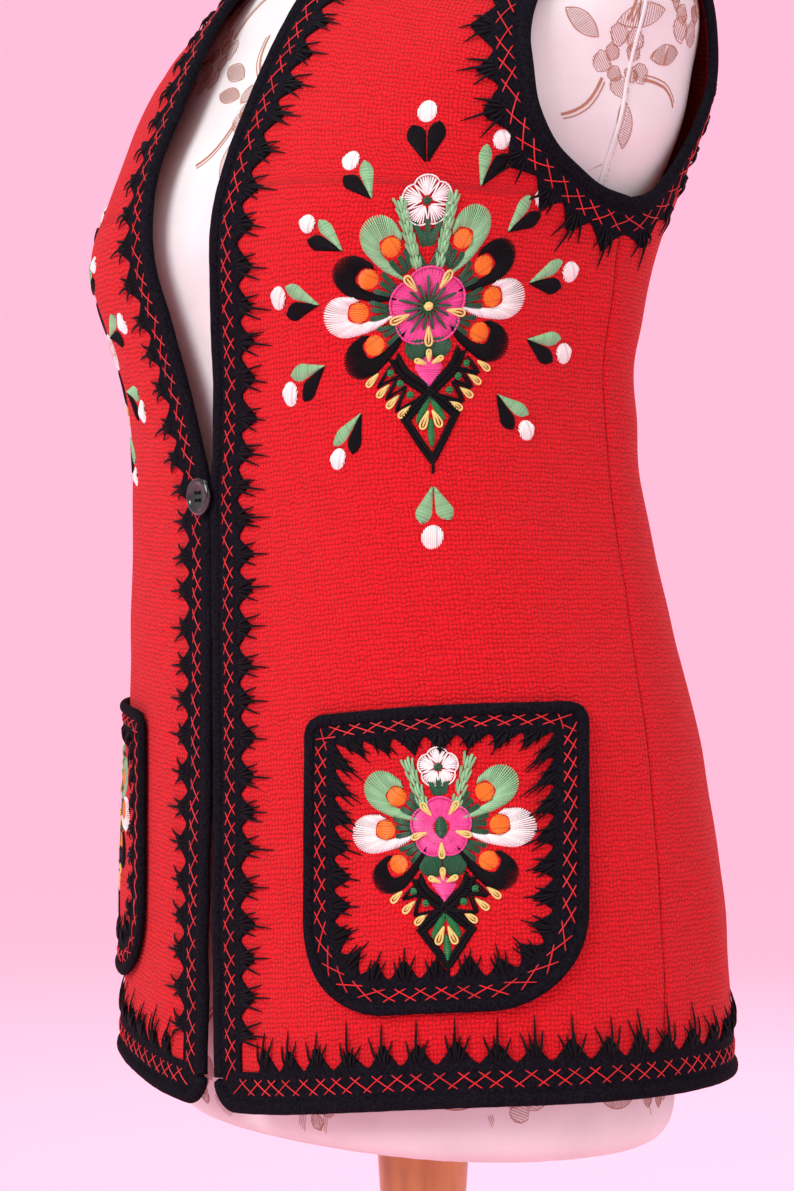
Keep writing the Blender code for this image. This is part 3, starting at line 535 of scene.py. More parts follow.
def speckle(tree, scale, detail=3.0, stretch=(1, 1, 1), source="Object"):
    """Noise over the object's own coordinates or its cloth places."""
    where = tree.nodes.new("ShaderNodeTexCoord").outputs[source]
    size = tree.nodes.new("ShaderNodeMapping")
    size.inputs["Scale"].default_value = stretch
    noise = tree.nodes.new("ShaderNodeTexNoise")
    noise.inputs["Scale"].default_value = scale
    noise.inputs["Detail"].default_value = detail
    tree.links.new(where, size.inputs["Vector"])
    tree.links.new(size.outputs[0], noise.inputs["Vector"])
    return noise.outputs["Fac"]


def tint(tree, shader, amount, low, high, start=0.3, stop=0.7):
    ramp = tree.nodes.new("ShaderNodeValToRGB")
    ramp.color_ramp.elements[0].position = start
    ramp.color_ramp.elements[1].position = stop
    ramp.color_ramp.elements[0].color = (*low, 1)
    ramp.color_ramp.elements[1].color = (*high, 1)
    tree.links.new(amount, ramp.inputs[0])
    tree.links.new(ramp.outputs[0], shader.inputs["Base Color"])


def relief(tree, shader, height, distance, strength=1.0):
    bump = tree.nodes.new("ShaderNodeBump")
    bump.inputs["Distance"].default_value = distance
    bump.inputs["Strength"].default_value = strength
    tree.links.new(height, bump.inputs["Height"])
    tree.links.new(bump.outputs[0], shader.inputs["Normal"])


WEAVE_CELL = (0.0020, 0.0023)


def wool_finish():
    """
    Coarse plain weave of uneven yarn, 2.0 by 2.3 mm a cell: the waves of warp and weft multiplied,
    their sign lifting every other cell, the places bent by slow noise, with fuzz and slubs over them.
    The colour follows the same height: darker in the hollows between the yarns, which is painted shade,
    and uneven with the fuzz and slubs, which is the yarn's own tone.
    """
    made, tree, shader = finish("red_wool_weave", (0.66, 0.010, 0.014), 0.95, sheen=0.06, gloss=0.15)
    slub = speckle(tree, 1.0, 3.0, (70, 380, 1), "UV")
    fuzz = speckle(tree, 1.0, 4.0, (900, 900, 1), "UV")
    bends = [times(tree, speckle(tree, 1.0, 2.0, size, "UV"), 5.0) for size in ((170, 190, 1), (210, 150, 3))]
    warp, weft = (sum_up(tree, "SINE", plus(tree, times(tree, place, math.pi / cell), bend))
                  for place, cell, bend in zip(cloth_places(tree), WEAVE_CELL, bends))
    cell = times(tree, sum_up(tree, "POWER", sum_up(tree, "ABSOLUTE", warp), 0.45),
                 sum_up(tree, "POWER", sum_up(tree, "ABSOLUTE", weft), 0.7))
    over = times(tree, times(tree, warp, weft), 0.16)
    height = plus(tree, plus(tree, cell, over), times(tree, fuzz, 1.5))
    height = plus(tree, height, times(tree, slub, 0.6))
    # painted shade: the colour darkens with the weave's height in the hollows between yarns, besides the
    # yarn's own uneven tone from fuzz and slubs
    tint(tree, shader, times(tree, height, 0.42), (0.24, 0.0010, 0.0035), (0.70, 0.0075, 0.015), 0.28, 0.80)
    relief(tree, shader, height, 0.0009, 0.8)
    return made


def felt_finish():
    """Black felt: fine matted fibres."""
    made, tree, shader = finish("black_felt_fibres", (0.008, 0.007, 0.011), 0.97, gloss=0.06)
    fibres = speckle(tree, 800, 5.0)
    tint(tree, shader, fibres, (0.0018, 0.0017, 0.0030), (0.0095, 0.0085, 0.0135))
    relief(tree, shader, fibres, 0.0007, 0.9)
    return made


THREAD_TWIST = 5.03


def thread_finish(name, colour, roughness, gloss):
    """Twisted thread: fine slanting ridges round it, with painted shade in the grooves between them, and each
    thread a little lighter or darker at random as painted shading, standing for each stitch taking the light
    its own way.
    """
    made, tree, shader = finish(name, colour, roughness, gloss=gloss)
    turn, run = cloth_places(tree)
    ridge = sum_up(tree, "SINE", plus(tree, times(tree, turn, 4 * math.pi), times(tree, run, THREAD_TWIST)))
    relief(tree, shader, ridge, 0.00006, 0.5)
    chance = tree.nodes.new("ShaderNodeTexWhiteNoise")
    chance.noise_dimensions = "1D"
    number = sum_up(tree, "FLOOR", sum_up(tree, "DIVIDE", run, THREAD_NUMBER))
    tree.links.new(number, chance.inputs["W"])
    # painted shading: each thread's own lighter or darker tone stands for how each stitch takes the light
    shade = sum_up(tree, "MULTIPLY_ADD", chance.outputs["Value"], 0.6, 0.2)
    dark = tuple(0.62 * c for c in colour)
    # painted shade: the colour darkens in the twist's grooves, on top of each thread's painted shading
    tint(tree, shader, sum_up(tree, "MULTIPLY_ADD", ridge, 0.14, shade), dark, colour, 0.05, 0.75)
    return made


def cover_finish():
    """Fine knit cover over padding."""
    made, tree, shader = finish("knit_cover", (0.68, 0.67, 0.665), 0.85, sheen=0.08, gloss=0.25)
    soft = speckle(tree, 30, 3.0)
    tint(tree, shader, soft, (0.64, 0.63, 0.63), (0.72, 0.71, 0.705))
    relief(tree, shader, speckle(tree, 1500, 2.0, (1, 1, 0.5)), 0.0003, 0.5)
    return made


def wood_finish():
    """Turned beech: long grain with fine pores."""
    made, tree, shader = finish("turned_wood_grain", (0.50, 0.22, 0.06), 0.38, coat=0.25)
    grain = speckle(tree, 14, 6.0, (6, 6, 0.7))
    tint(tree, shader, grain, (0.36, 0.13, 0.035), (0.58, 0.26, 0.075))
    relief(tree, shader, grain, 0.0004, 0.35)
    return made


def plain_finish(name, colour, roughness, coat=0.0, mottle=0.15):
    made, tree, shader = finish(name, colour, roughness, coat=coat)
    tint(tree, shader, speckle(tree, 120, 3.0), tuple(c * (1 - mottle) for c in colour), colour)
    return made


WOOL, FELT, COVER, WOOD = wool_finish(), felt_finish(), cover_finish(), wood_finish()
PRINT = plain_finish("rust_print", (0.42, 0.19, 0.125), 0.85)
GLOSS = plain_finish("black_gloss", (0.008, 0.008, 0.010), 0.12, coat=0.6)
THREAD = {word: thread_finish(word + "_thread", *rest) for word, *rest in (
    ("red", (0.66, 0.010, 0.016), 0.45, 0.35), ("black", (0.0035, 0.0032, 0.0050), 0.60, 0.10),
    ("pink", (0.78, 0.065, 0.30), 0.40, 0.35), ("light_green", (0.25, 0.53, 0.27), 0.42, 0.35),
    ("dark_green", (0.010, 0.085, 0.035), 0.42, 0.35), ("mid_green", (0.012, 0.20, 0.055), 0.42, 0.35),
    ("white", (0.84, 0.83, 0.80), 0.45, 0.35), ("orange", (0.84, 0.19, 0.012), 0.42, 0.35),
    ("yellow", (0.86, 0.70, 0.22), 0.42, 0.35))}


# Wool panels

def growing_steps(start, stop, count):
    """Values from start to stop whose steps begin short and grow to an even size."""
    steps = np.minimum(np.arange(1, count + 1) * 0.03, 1.0)
    return start + (stop - start) * np.cumsum(steps) / steps.sum()


def side_edge(s, front):
    """The angle of a panel's side: the side seam, then the armhole's edge."""
    hole = PATHS["armhole"]
    t = np.linspace(0, hole.length, 1500)
    edge_s, edge_phi = hole.beside(t, CLOTH_EDGE)
    seam = math.degrees(SEAM_HALF / SECTIONS[:, 2].mean())
    top = t[np.argmax(edge_s)]
    part = (t <= top) if front else (t >= top)
    part &= (edge_phi < 90) if front else (edge_phi > 90)
    order = np.argsort(edge_s[part])
    angle = np.interp(s, edge_s[part][order], edge_phi[part][order])
    low = edge_s[part].min()
    return np.where(s <= low, 90 - seam if front else 90 + seam, angle), low


def panel_rows(underarm):
    hem = CLOTH_EDGE / np.linalg.norm(tangents(np.zeros(1), np.full(1, 60.0))[0])
    top = 1 - SEAM_HALF / np.linalg.norm(tangents(np.ones(1) - 0.01, np.full(1, 50.0))[0])
    high = growing_steps(underarm, top, 76)
    fine = top - (top - high[-2]) * np.array([0.6, 0.3, 0.12])
    return np.concatenate([np.linspace(hem, underarm, 84), high[:-1], fine, [top]])


def seam_fall(distance):
    """How far cloth turns down towards a seam at a distance from it."""
    return -0.0006 * np.exp(-(distance / 0.0012)**2)


def panel_shell(name, s, phi, fall):
    """A wool wall on rows and angles, with its weave's places measured along the cloth."""
    outer = cloth(s, phi, fall)
    inner = cloth(s, phi, fall * 0 - CLOTH_WALL)
    across = np.linalg.norm(np.diff(outer, axis=1, prepend=outer[:, :1]), axis=-1)
    middle = s.shape[1] // 2
    u = np.cumsum(across, 1)
    u = u - u[:, middle:middle + 1]
    v = np.cumsum(np.linalg.norm(np.diff(outer[:, middle], axis=0, prepend=outer[:1, middle]), axis=-1))
    uv = np.stack([u, np.repeat(v[:, None], s.shape[1], 1)], -1)
    return shell(name, outer, inner, uv, WOOL, False, [name])


def front_panel(side, name):
    t = np.linspace(0, PATHS["front"].length, 900)
    inner_s, inner_phi = PATHS["front"].beside(t, CLOTH_EDGE)
    order = np.argsort(inner_s)
    inner_s, inner_phi = inner_s[order], inner_phi[order]
    _, underarm = side_edge(np.ones(1), True)
    rows = panel_rows(underarm)
    outer, _ = side_edge(rows, True)
    slant = (inner_phi[-1] - inner_phi[-8]) / (inner_s[-1] - inner_s[-8])
    inner = np.interp(rows, inner_s, inner_phi) + slant * np.maximum(rows - inner_s[-1], 0)
    across = np.concatenate([np.linspace(0, 0.97, 40), [0.98, 0.988, 0.994, 0.9975, 1.0]])
    phi = inner[:, None] + (outer - inner)[:, None] * across
    s = np.repeat(rows[:, None], len(across), 1)
    _, around = tangents(s, phi)
    seam = np.radians(90 - phi) * np.linalg.norm(around, axis=-1)
    along, _ = tangents(np.minimum(s, 0.99), phi)
    shoulder = (1 - s) * np.linalg.norm(along, axis=-1)
    fall = seam_fall(np.abs(seam)) * (rows <= underarm)[:, None] + seam_fall(shoulder)
    if side < 0:
        s, phi, fall = s[:, ::-1], -phi[:, ::-1], fall[:, ::-1]
    return panel_shell(name, s, phi, fall)


def back_panel():
    _, underarm = side_edge(np.ones(1), False)
    rows = panel_rows(underarm)
    side, _ = side_edge(rows, False)
    t = np.linspace(0, PATHS["neck"].length, 900)
    neck_s, neck_phi = PATHS["neck"].beside(t, CLOTH_EDGE)
    left = neck_phi < 180
    corner = neck_phi[left & (neck_s < rows[-1])].min()
    share = (180 - corner) / (180 - side[-1])
    across = np.concatenate([[1.0, 0.9975, 0.993, 0.985], np.linspace(0.975, share, 20),
                             np.linspace(share, 0, 26)[1:]])
    across = np.concatenate([across, -across[-2::-1]])
    phi = 180 - (180 - side)[:, None] * across
    order = np.argsort(neck_phi)
    neck = np.interp(phi[-1], neck_phi[order], neck_s[order], left=2.0, right=2.0)
    top = np.where(np.abs(across) <= share + 1e-6, np.minimum(neck, rows[-1]), rows[-1])
    rise = np.clip((rows - underarm) / (rows[-1] - underarm), 0, 1)
    s = rows[:, None] - rise[:, None]**2 * (rows[-1] - top)
    _, around = tangents(s, phi)
    turn = np.minimum(np.abs(phi - 90), np.abs(270 - phi))
    seam = np.radians(turn) * np.linalg.norm(around, axis=-1)
    along, _ = tangents(np.minimum(s, 0.99), phi)
    shoulder = (1 - s) * np.linalg.norm(along, axis=-1)
    fall = seam_fall(seam) * (rows <= underarm)[:, None] + seam_fall(shoulder)
    return panel_shell("vest_back", s, phi, fall)


# Grounds for the sewing: flat millimetres laid on the cloth

class Ground:
    """A sheet of places, looked up between the knots of a grid, at a height above the cloth."""

    def __init__(self, xs, ys, s, phi, out, side):
        self.xs, self.ys, self.s, self.phi, self.out, self.side = xs, ys, s, phi, out, side

    def spot(self, xy):
        gx, gy = (np.clip((xy[..., k] - knots[0]) / (knots[1] - knots[0]), 0, len(knots) - 1.001)
                  for k, knots in enumerate((self.xs, self.ys)))
        i, j = gy.astype(int), gx.astype(int)
        fy, fx = gy - i, gx - j
        return [grid[i, j] * (1 - fy) * (1 - fx) + grid[i, j + 1] * (1 - fy) * fx
                + grid[i + 1, j] * fy * (1 - fx) + grid[i + 1, j + 1] * fy * fx
                for grid in (self.s, self.phi)]

    def place(self, xy, rise):
        s, phi = self.spot(xy)
        return cloth(s, phi * self.side, self.out + rise / 1000, normals=True)


def spread(s, phi, turn_x, turn_y, out, side):
    """Lengths and directions from a place on the cloth, both flat axes turned by their own angles."""
    xs, ys = np.arange(-93, 94, 3.0), np.arange(-117, 106, 3.0)
    x, y = np.meshgrid(xs, ys)
    s, phi = np.full(x.shape, s), np.full(x.shape, phi)
    along, around = tangents(s, phi)
    across = unit(around)
    up = np.cross(unit(np.cross(around, along)), across)
    a, b = math.radians(turn_x), math.radians(turn_y)
    right = math.cos(a) * across + math.sin(a) * up
    high = -math.sin(b) * across + math.cos(b) * up
    aim = (x[..., None] * right + y[..., None] * high) / 1000
    s, phi = walk(s, phi, unit(aim), np.linalg.norm(aim, axis=-1), 14)
    return Ground(xs, ys, s, phi, out, side)


def pocket_angles(s, length, steps=40):
    """The angle reached by going a length along each row from the centre front."""
    phi = np.zeros_like(s)
    for _ in range(steps):
        half = phi + np.degrees(length / steps / 2 / np.linalg.norm(tangents(s, phi)[1], axis=-1))
        phi = phi + np.degrees(length / steps / np.linalg.norm(tangents(s, half)[1], axis=-1))
    return phi


def pocket_ground(side, out):
    xs, ys = np.arange(-78, 79, 3.0), np.arange(-81, 82, 3.0)
    x, y = np.meshgrid(xs, ys)
    rise = np.linalg.norm(tangents(np.full(1, 0.12), np.full(1, 47.0))[0][0])
    s = row_of(POCKET_FOOT) + (y / 1000 + POCKET_HEIGHT / 2) / rise
    return Ground(xs, ys, s, pocket_angles(s, POCKET_MIDDLE + x / 1000), out, side)


class BandGround:
    """Millimetres along a path and away from it."""

    def __init__(self, path, out, side):
        self.path, self.out, self.side = path, out, side

    def place(self, xy, rise):
        s, phi = self.path.beside(xy[..., 0] / 1000, xy[..., 1] / 1000)
        return cloth(s, phi * self.side, self.out + rise / 1000, normals=True)


# Felt borders and rolls

def waver(k, amount):
    """A small difference from tooth to tooth, as hand cutting leaves."""
    return 1 + amount * np.sin(2.4 * k + 0.7) * np.cos(1.1 * k)


TOOTH_DRIFT = 0.06
TOOTH_VARIES = 0.07
TOOTH_BLUNT = 0.93
TOOTH_POWER = 1.25


def blunt(way, power):
    """The share of a tooth's depth at a share of the way to its tip, cut off flat near the tip."""
    return (np.minimum(way, TOOTH_BLUNT) / TOOTH_BLUNT)**power


class Teeth:
    """The cut edge: valleys between blunt tips, at uneven distances along a border."""

    def __init__(self, first, last, valley, tip):
        count = max(int(round((last - first) / TOOTH_PITCH)), 1)
        shift = TOOTH_DRIFT * TOOTH_PITCH * np.sin(1.9 * np.arange(count + 1))
        shift[[0, -1]] = 0
        self.valleys = np.linspace(first, last, count + 1) + shift
        self.tips = (self.valleys[1:] + self.valleys[:-1]) / 2
        self.depth = tip * waver(np.arange(count), TOOTH_VARIES)
        self.valley = valley

    def reach(self, t):
        """The edge's distance at t: the valley's, and more by the 1.25th power of the way to the tip."""
        k = np.clip(np.searchsorted(self.valleys, t) - 1, 0, len(self.tips) - 1)
        inside = (t >= self.valleys[0]) & (t <= self.valleys[-1])
        half = (self.valleys[k + 1] - self.valleys[k]) / 2
        way = np.clip(1 - np.abs(t - self.tips[k]) / half, 0, 1)
        more = (self.depth[k] - self.valley) * blunt(way, TOOTH_POWER)
        return np.where(inside, self.valley + more, self.valley)


# Where the felt's rows lie from its inner to its cut edge, and how far each turns down
FELT_PARTS = np.array([0.0, 0.14, 0.28, 0.42, 0.56, 0.70, 0.83, 0.93, 0.98, 1.0])
FELT_DROP = np.array([0, 0, 0, 0, 0, 0, 0, 0, -0.00018, -0.00055])
FELT_STEP = 0.0014
# The toothless ends where two borders meet in a mitre, and how far back its slant begins
MITRE_CORNER = 0.026
MITRE_RUN = 0.034
# How much shallower the armhole's border is
HOLE_VALLEY_LESS = 0.0022
HOLE_TIP_LESS = 0.0028


def felt_shell(name, outline, out, closed):
    """Felt on rows of points from its inner to its cut edge, rounded down at the cut edge."""
    top = cloth(outline[0], outline[1], out + FELT_WALL + FELT_DROP[:, None])
    low = cloth(outline[0], outline[1], out)
    run = np.cumsum(np.linalg.norm(np.diff(top[0], axis=0, prepend=top[0, :1]), axis=-1))
    uv = np.stack(np.broadcast_arrays(run[None], FELT_PARTS[:, None] * 0.02), -1)
    return shell(name, top[::-1], low[::-1], uv[::-1], FELT, closed, [name])


def felt_band(name, path, side, mitred=(False, False)):
    """A border of felt along a path and its teeth, its ends slanted where they are mitred."""
    closed, length = path.closed, path.length
    teeth = Teeth(MITRE_CORNER * mitred[0], length - MITRE_CORNER * mitred[1],
                  VALLEY - HOLE_VALLEY_LESS * closed, TIP - HOLE_TIP_LESS * closed)
    t = np.linspace(0, length, int(length / FELT_STEP) + 1)
    t = t[:-1] if closed else t
    r = FELT_EDGE + (teeth.reach(t) - FELT_EDGE) * FELT_PARTS[:, None]
    first, last = (np.clip(1 - away / MITRE_RUN, 0, 1) for away in (t, length - t))
    at = t + (mitred[0] * first - mitred[1] * last) * r
    s, phi = path.beside(at if closed else np.clip(at, 0, length), r)
    s, phi = (s, phi * side) if side > 0 else (s[:, ::-1], -phi[:, ::-1])
    return felt_shell(name, (s, phi), FELT_OUT, closed), teeth


ROLL_STEP = 0.0020
ROLL_SIDES = 16
ROLL_ROUND_END = 0.0022


def roll_piece(name, line, ups, closed, length, wide=ROLL_WIDE):
    """
    A rolled binding, a tube of felt whose radius is uneven by products of waves along it. A closed
    one's waves come round whole, and an open one's ends are rounded off.
    """
    run = np.linspace(0, length, len(line))
    if closed:
        turn = 2 * math.pi * run / length
        radii = wide * (1 + 0.03 * np.sin(11 * turn) * np.sin(4 * turn))
    else:
        away = np.clip(np.minimum(run, run[::-1]) / ROLL_ROUND_END, 0, 1)
        radii = wide * (1 + 0.025 * np.sin(run * 420) * np.sin(run * 173 + 1) + 0.02 * np.sin(run * 61))
        radii = radii * np.sqrt(np.clip(1 - (1 - away)**2, 0.08, 1))
    points, faces, marks = tube_mesh(line[None], ups[None], radii[None], ROLL_SIDES, ROLL_FLAT, closed)
    made = add_mesh(name + "_rolled", points, faces, FELT, marks, sharp=70.0)
    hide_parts(name)
    return made


def edge_roll(name, path, first, last, side):
    t = np.linspace(first, last, int((last - first) / ROLL_STEP) + 1)
    if path.closed:
        t = t[:-1]
    else:
        near = np.array([0.0003, 0.0008])
        t = np.unique(np.concatenate([t, first + near, last - near]))
    s, phi = path.at(t)
    line, ups = cloth(s, phi * side, ROLL_OUT, normals=True)
    return roll_piece(name, line, ups, path.closed, last - first)


def hem_roll():
    """The hem's roll with both round corners."""
    hem, front = PATHS["hem"], PATHS["front"]
    radius = HEM_CORNER_RADIUS
    angle = np.radians(np.linspace(0, 84, 12))
    away = np.maximum(radius * (1 - np.cos(angle)), 1e-5)
    s, phi = front.beside(front.length - radius * (1 - np.sin(angle)), away)
    t = np.linspace(radius, hem.length - radius, int(hem.length / ROLL_STEP))
    middle_s, middle_phi = hem.at(t)
    s = np.concatenate([s, middle_s, s[::-1]])
    phi = np.concatenate([phi, middle_phi, 360 - phi[::-1]])
    line, ups = cloth(s, phi, ROLL_OUT, normals=True)
    return roll_piece("binding_hem", line, ups, False, hem.length)


# Sewing on the felt

def threads(a, b, rise=0.5, points=5, dip=-0.35, bow=0.0):
    """Straight stitches from a to b in millimetres, arched in the middle and diving in at both ends."""
    a, b = np.asarray(a, float).reshape(-1, 2), np.asarray(b, float).reshape(-1, 2)
    f = np.linspace(0, 1, points)
    line = a[:, None] + (b - a)[:, None] * f[:, None]
    across = np.stack([-(b - a)[:, 1], (b - a)[:, 0]], -1)
    line = line + bow * across[:, None] * np.sin(math.pi * f)[:, None]
    up = dip + (rise - dip) * np.sqrt(np.sin(math.pi * f))
    return np.concatenate([line, np.broadcast_to(up[:, None], (len(a), points, 1))], -1)


def herringbone(start, stop, middle, height, period):
    """Ends of the crossed stitches that go to and fro between two lines."""
    count = max(int(round((stop - start) / period)), 1)
    period = (stop - start) / count
    k = np.arange(count)
    left = start + k * period + 0.075 * period * np.sin(1.7 * k)
    low, high = (np.full(count, middle + part * height / 2) for part in (-1, 1))
    e = CROSS_OVERLAP * period
    going = np.stack([left - e, low], -1), np.stack([left + period / 2 + e, high], -1)
    coming = np.stack([left + period / 2 - e, high], -1), np.stack([left + period + e, low], -1)
    return going, coming


# The red herringbone, in millimetres: middle line and height from the edge, length of a stitch to and fro,
# the share of it by which the stitches cross, their two heights and their thread's radius
CROSS_MIDDLE = 9.3
CROSS_HEIGHT = 8.2
CROSS_PERIOD = 10.2
CROSS_OVERLAP = 0.31
CROSS_RISES = (0.30, 0.52)
CROSS_RADIUS = 0.30

# The black spikes, in millimetres: from the middle of a tooth to the start and to the end along the edge,
# and the distances of both from the edge
SPIKES = ((0, 0.4, 19.0, 37.0), (-1.9, -5.8, 18.0, 30.0), (1.9, 5.8, 18.0, 30.0),
          (-0.8, -2.0, 18.0, 28.5), (0.8, 2.2, 17.5, 27.5))
SPIKE_TAPER = np.array([0.8, 1.1, 1.3, 1.3, 1.2, 1.0, 0.78, 0.52, 0.2])
SPIKE_SINK = np.array([0, 0, 0, 0, 0.15, 0.45, 0.75, 0.95, 1.0])
SPIKE_RADIUS = 0.60
SPIKE_FLAT = 0.75
SPIKE_SPREAD = 0.75
HOLE_SPIKES_NEARER = 3.0


def spike(a, b, sink):
    """Long stitches from the felt at a down to the cloth at b, a sink lower."""
    line = threads(a, b, rise=0.75, points=len(SPIKE_SINK), dip=-0.1)
    line[..., 2] -= sink * SPIKE_SINK
    return line


def band_sewing(name, ground, teeth, start, stop, closed=False):
    """A border's red herringbone, and the black spikes fanned out from each tooth."""
    sewing = Sewing()
    for (a, b), rise in zip(herringbone(start, stop, CROSS_MIDDLE, CROSS_HEIGHT, CROSS_PERIOD), CROSS_RISES):
        sewing.sew(ground, "red", threads(a, b, rise=rise, points=7), CROSS_RADIUS)
    tips = teeth.tips * 1000
    nearer = HOLE_SPIKES_NEARER * closed
    wobble = dice.normal(0, SPIKE_SPREAD, (len(tips), 2 * len(SPIKES)))
    lines = []
    for k, (shift, end_shift, near, far) in enumerate(SPIKES):
        a = np.stack([tips + shift, np.full(len(tips), near - nearer)], -1)
        turn, reach = wobble[:, 2 * k], 2.2 * wobble[:, 2 * k + 1]
        b = np.stack([tips + end_shift + turn, far - 1.3 * nearer + reach], -1)
        lines.append(spike(a, b, (FELT_OUT + FELT_WALL) * 1000))
    sewing.sew(ground, "black", np.concatenate(lines), SPIKE_TAPER * SPIKE_RADIUS, flat=SPIKE_FLAT)
    return sewing.finish(name)


# Embroidery, drawn for the wearer's left; the other side is its mirror image

def oval(centre, long, wide, angle, pitch=0.75, power=1.0, rise=0.75, along=False):
    """Satin stitches side by side across an oval, or along it."""
    if along:
        v = np.linspace(-wide, wide, max(int(2.3 * wide / pitch), 3))
        reach = long * (1 - np.abs(v / (wide * 1.08))**2)**(0.5 * power)
        a, b = np.stack([-reach, v], -1), np.stack([reach, v], -1)
    else:
        u = np.linspace(-long, long, max(int(2 * long / pitch), 4))
        reach = wide * (1 - np.abs(u / (long * 1.04))**2)**(0.5 * power)
        a, b = np.stack([u, -reach], -1), np.stack([u, reach], -1)
    q = math.radians(angle)
    spin = np.array([[math.cos(q), math.sin(q)], [-math.sin(q), math.cos(q)]])
    return threads(a @ spin + centre, b @ spin + centre, rise=rise)


def knot(centre, radius):
    """A knot: a small coil of thread with a stitch over its middle."""
    f = np.linspace(0, 2 * math.pi * 1.15, 11)
    x, y = centre
    wide = radius * 0.62
    coil = np.stack([x + wide * np.cos(f), y + wide * np.sin(f), 0.5 + 0.25 * np.sin(f)], -1)
    over = threads([[x - radius * 0.7, y]], [[x + radius * 0.7, y]], rise=1.1, points=11)
    return np.concatenate([coil[None], over])


def daisy(base, tip, width):
    """A looped stitch: out from its base, round the tip and back."""
    base, tip = np.asarray(base, float), np.asarray(tip, float)
    f = np.linspace(0, 1, 13)
    along, side = tip - base, np.array([-(tip - base)[1], (tip - base)[0]])
    side = side / np.linalg.norm(side)
    out = np.sin(math.pi * f) ** 0.8
    swing = np.sin(2 * math.pi * f) * width
    line = base + along * out[:, None] + side * swing[:, None]
    return np.concatenate([line, np.where((f < 0.02) | (f > 0.98), -0.3, 0.55)[:, None]], -1)[None]


def between(one, two, count, rise=0.8):
    """Satin stitches joining two curves at matching places."""
    return threads(even_curve(one, count), even_curve(two, count), rise=rise)


def braid(points, width, pitch=1.25):
    """Close slanting stitches to both sides of a line, like a plait."""
    length = np.linalg.norm(np.diff(np.asarray(points, float), axis=0), axis=-1).sum()
    count = max(int(length / pitch), 3)
    line = even_curve(points, count)
    ahead = unit(np.gradient(line, axis=0))
    side = np.stack([-ahead[:, 1], ahead[:, 0]], -1)
    lean = ahead * pitch * 1.1
    left = threads(line + side * width / 2 - lean, line - side * 0.25 + lean, rise=0.75)
    right = threads(line - side * width / 2 - lean, line + side * 0.25 + lean, rise=0.85)
    return np.concatenate([left, right])


PETAL_OUT = np.array([(-16, 3.2), (-8, 7.8), (0, 10), (8, 10.8), (14.5, 8), (17.5, 2.5), (16, -3.5),
                      (10.5, -7), (3, -7.2)])
PETAL_IN = np.array([(-15.5, 2.6), (-8, 3.6), (-1, 5), (4.5, 3.5), (5.2, 0), (4, -3.8), (0, -5.2)])
FINGERS = (((-14, -1.5), (-4.5, -5)), ((-14.5, 0.2), (-5.5, -1)), ((-14, 2.0), (-5, 3.5)))


def comma_petal(sewing, ground, colour, dot, flip, scale):
    """A comma-shaped petal round an orange dot, with three short fingers on its inner side."""
    a = np.asarray(dot, float) / np.linalg.norm(dot)
    b = np.array([a[1], -a[0]]) * flip

    def lay(table):
        return np.asarray(table, float) @ np.stack([a, b]) * scale + dot

    sewing.sew(ground, colour, between(lay(PETAL_OUT), lay(PETAL_IN), int(52 * scale)), 0.42)
    lean = math.degrees(math.atan2(a[1], a[0]))
    sewing.sew(ground, "orange", oval(dot, 4.7 * scale, 4.2 * scale, lean, along=True, rise=0.9), 0.42)
    for fingers in FINGERS:
        near, far = lay(fingers)
        for shift in (-0.7, 0.0, 0.7):
            finger = threads([near + shift * b * 0.8], [far + shift * b * 1.2], rise=0.95)
            sewing.sew(ground, "dark_green", finger, 0.46)


def pairs(points):
    return [(sign, np.array([sign * x, y], float)) for x, y in points for sign in (1, -1)]


def flower(sewing, ground, lobe, gap, chest):
    """Five satin lobes stitched outwards, with a beaded rim, rays, a knot and five looped stitches."""
    angle = np.radians(np.arange(0, 360, 360 / 115))
    five = np.abs(np.cos(2.5 * (angle - math.radians(90))))
    rim = gap + (lobe - gap) * five**0.6 - 3.2 * np.clip(1 - five / 0.25, 0, 1)
    ray = np.stack([np.cos(angle), np.sin(angle)], -1)
    start = 5.0 if chest else 3.4
    inner = np.where(np.arange(len(angle)) % 2 == 0, start, start + 4.0)[:, None]
    rims = ray * rim[:, None]
    sewing.sew(ground, "pink", threads(ray * inner, rims, rise=0.7, dip=-0.1), 0.46)
    sewing.sew(ground, "pink", threads(rims[::2], np.roll(rims[::2], -1, 0), rise=0.95, dip=0.35), 0.52)
    if chest:
        q = np.radians(90 + np.arange(15) * 24 - 24)
        long = np.where(np.arange(15) % 3 == 1, 14.2, 11.2)
        spoke = np.stack([np.cos(q), np.sin(q)], -1)
        rays = threads(spoke * 2.0, spoke * long[:, None], rise=1.75, dip=0.5)
        sewing.sew(ground, "dark_green", rays, 0.68)
        sewing.sew(ground, "yellow", knot((0, 0), 2.3) + np.array([0, 0, 1.3]), 0.85)
    else:
        sewing.sew(ground, "dark_green", oval((0, 0), 4.4, 3.2, 90, rise=1.6), 0.5)
    for k in range(5):
        q = math.radians(90 + 36 + 72 * k)
        aim = np.array([math.cos(q), math.sin(q)])
        seed(sewing, ground, aim * lobe * 0.76, lobe * 0.50, math.degrees(q), 1.1)


def seed(sewing, ground, centre, length, angle, lift=0.0):
    """A small looped stitch with one straight stitch inside it."""
    q = math.radians(angle)
    aim = np.array([math.cos(q), math.sin(q)]) * length / 2
    above = np.array([0, 0, lift])
    sewing.sew(ground, "yellow", daisy(centre - aim, centre + aim, length * 0.17) + above, 0.52)
    sewing.sew(ground, "yellow", threads([centre - aim * 0.9], [centre + aim * 0.8], rise=1.0) + above, 0.5)


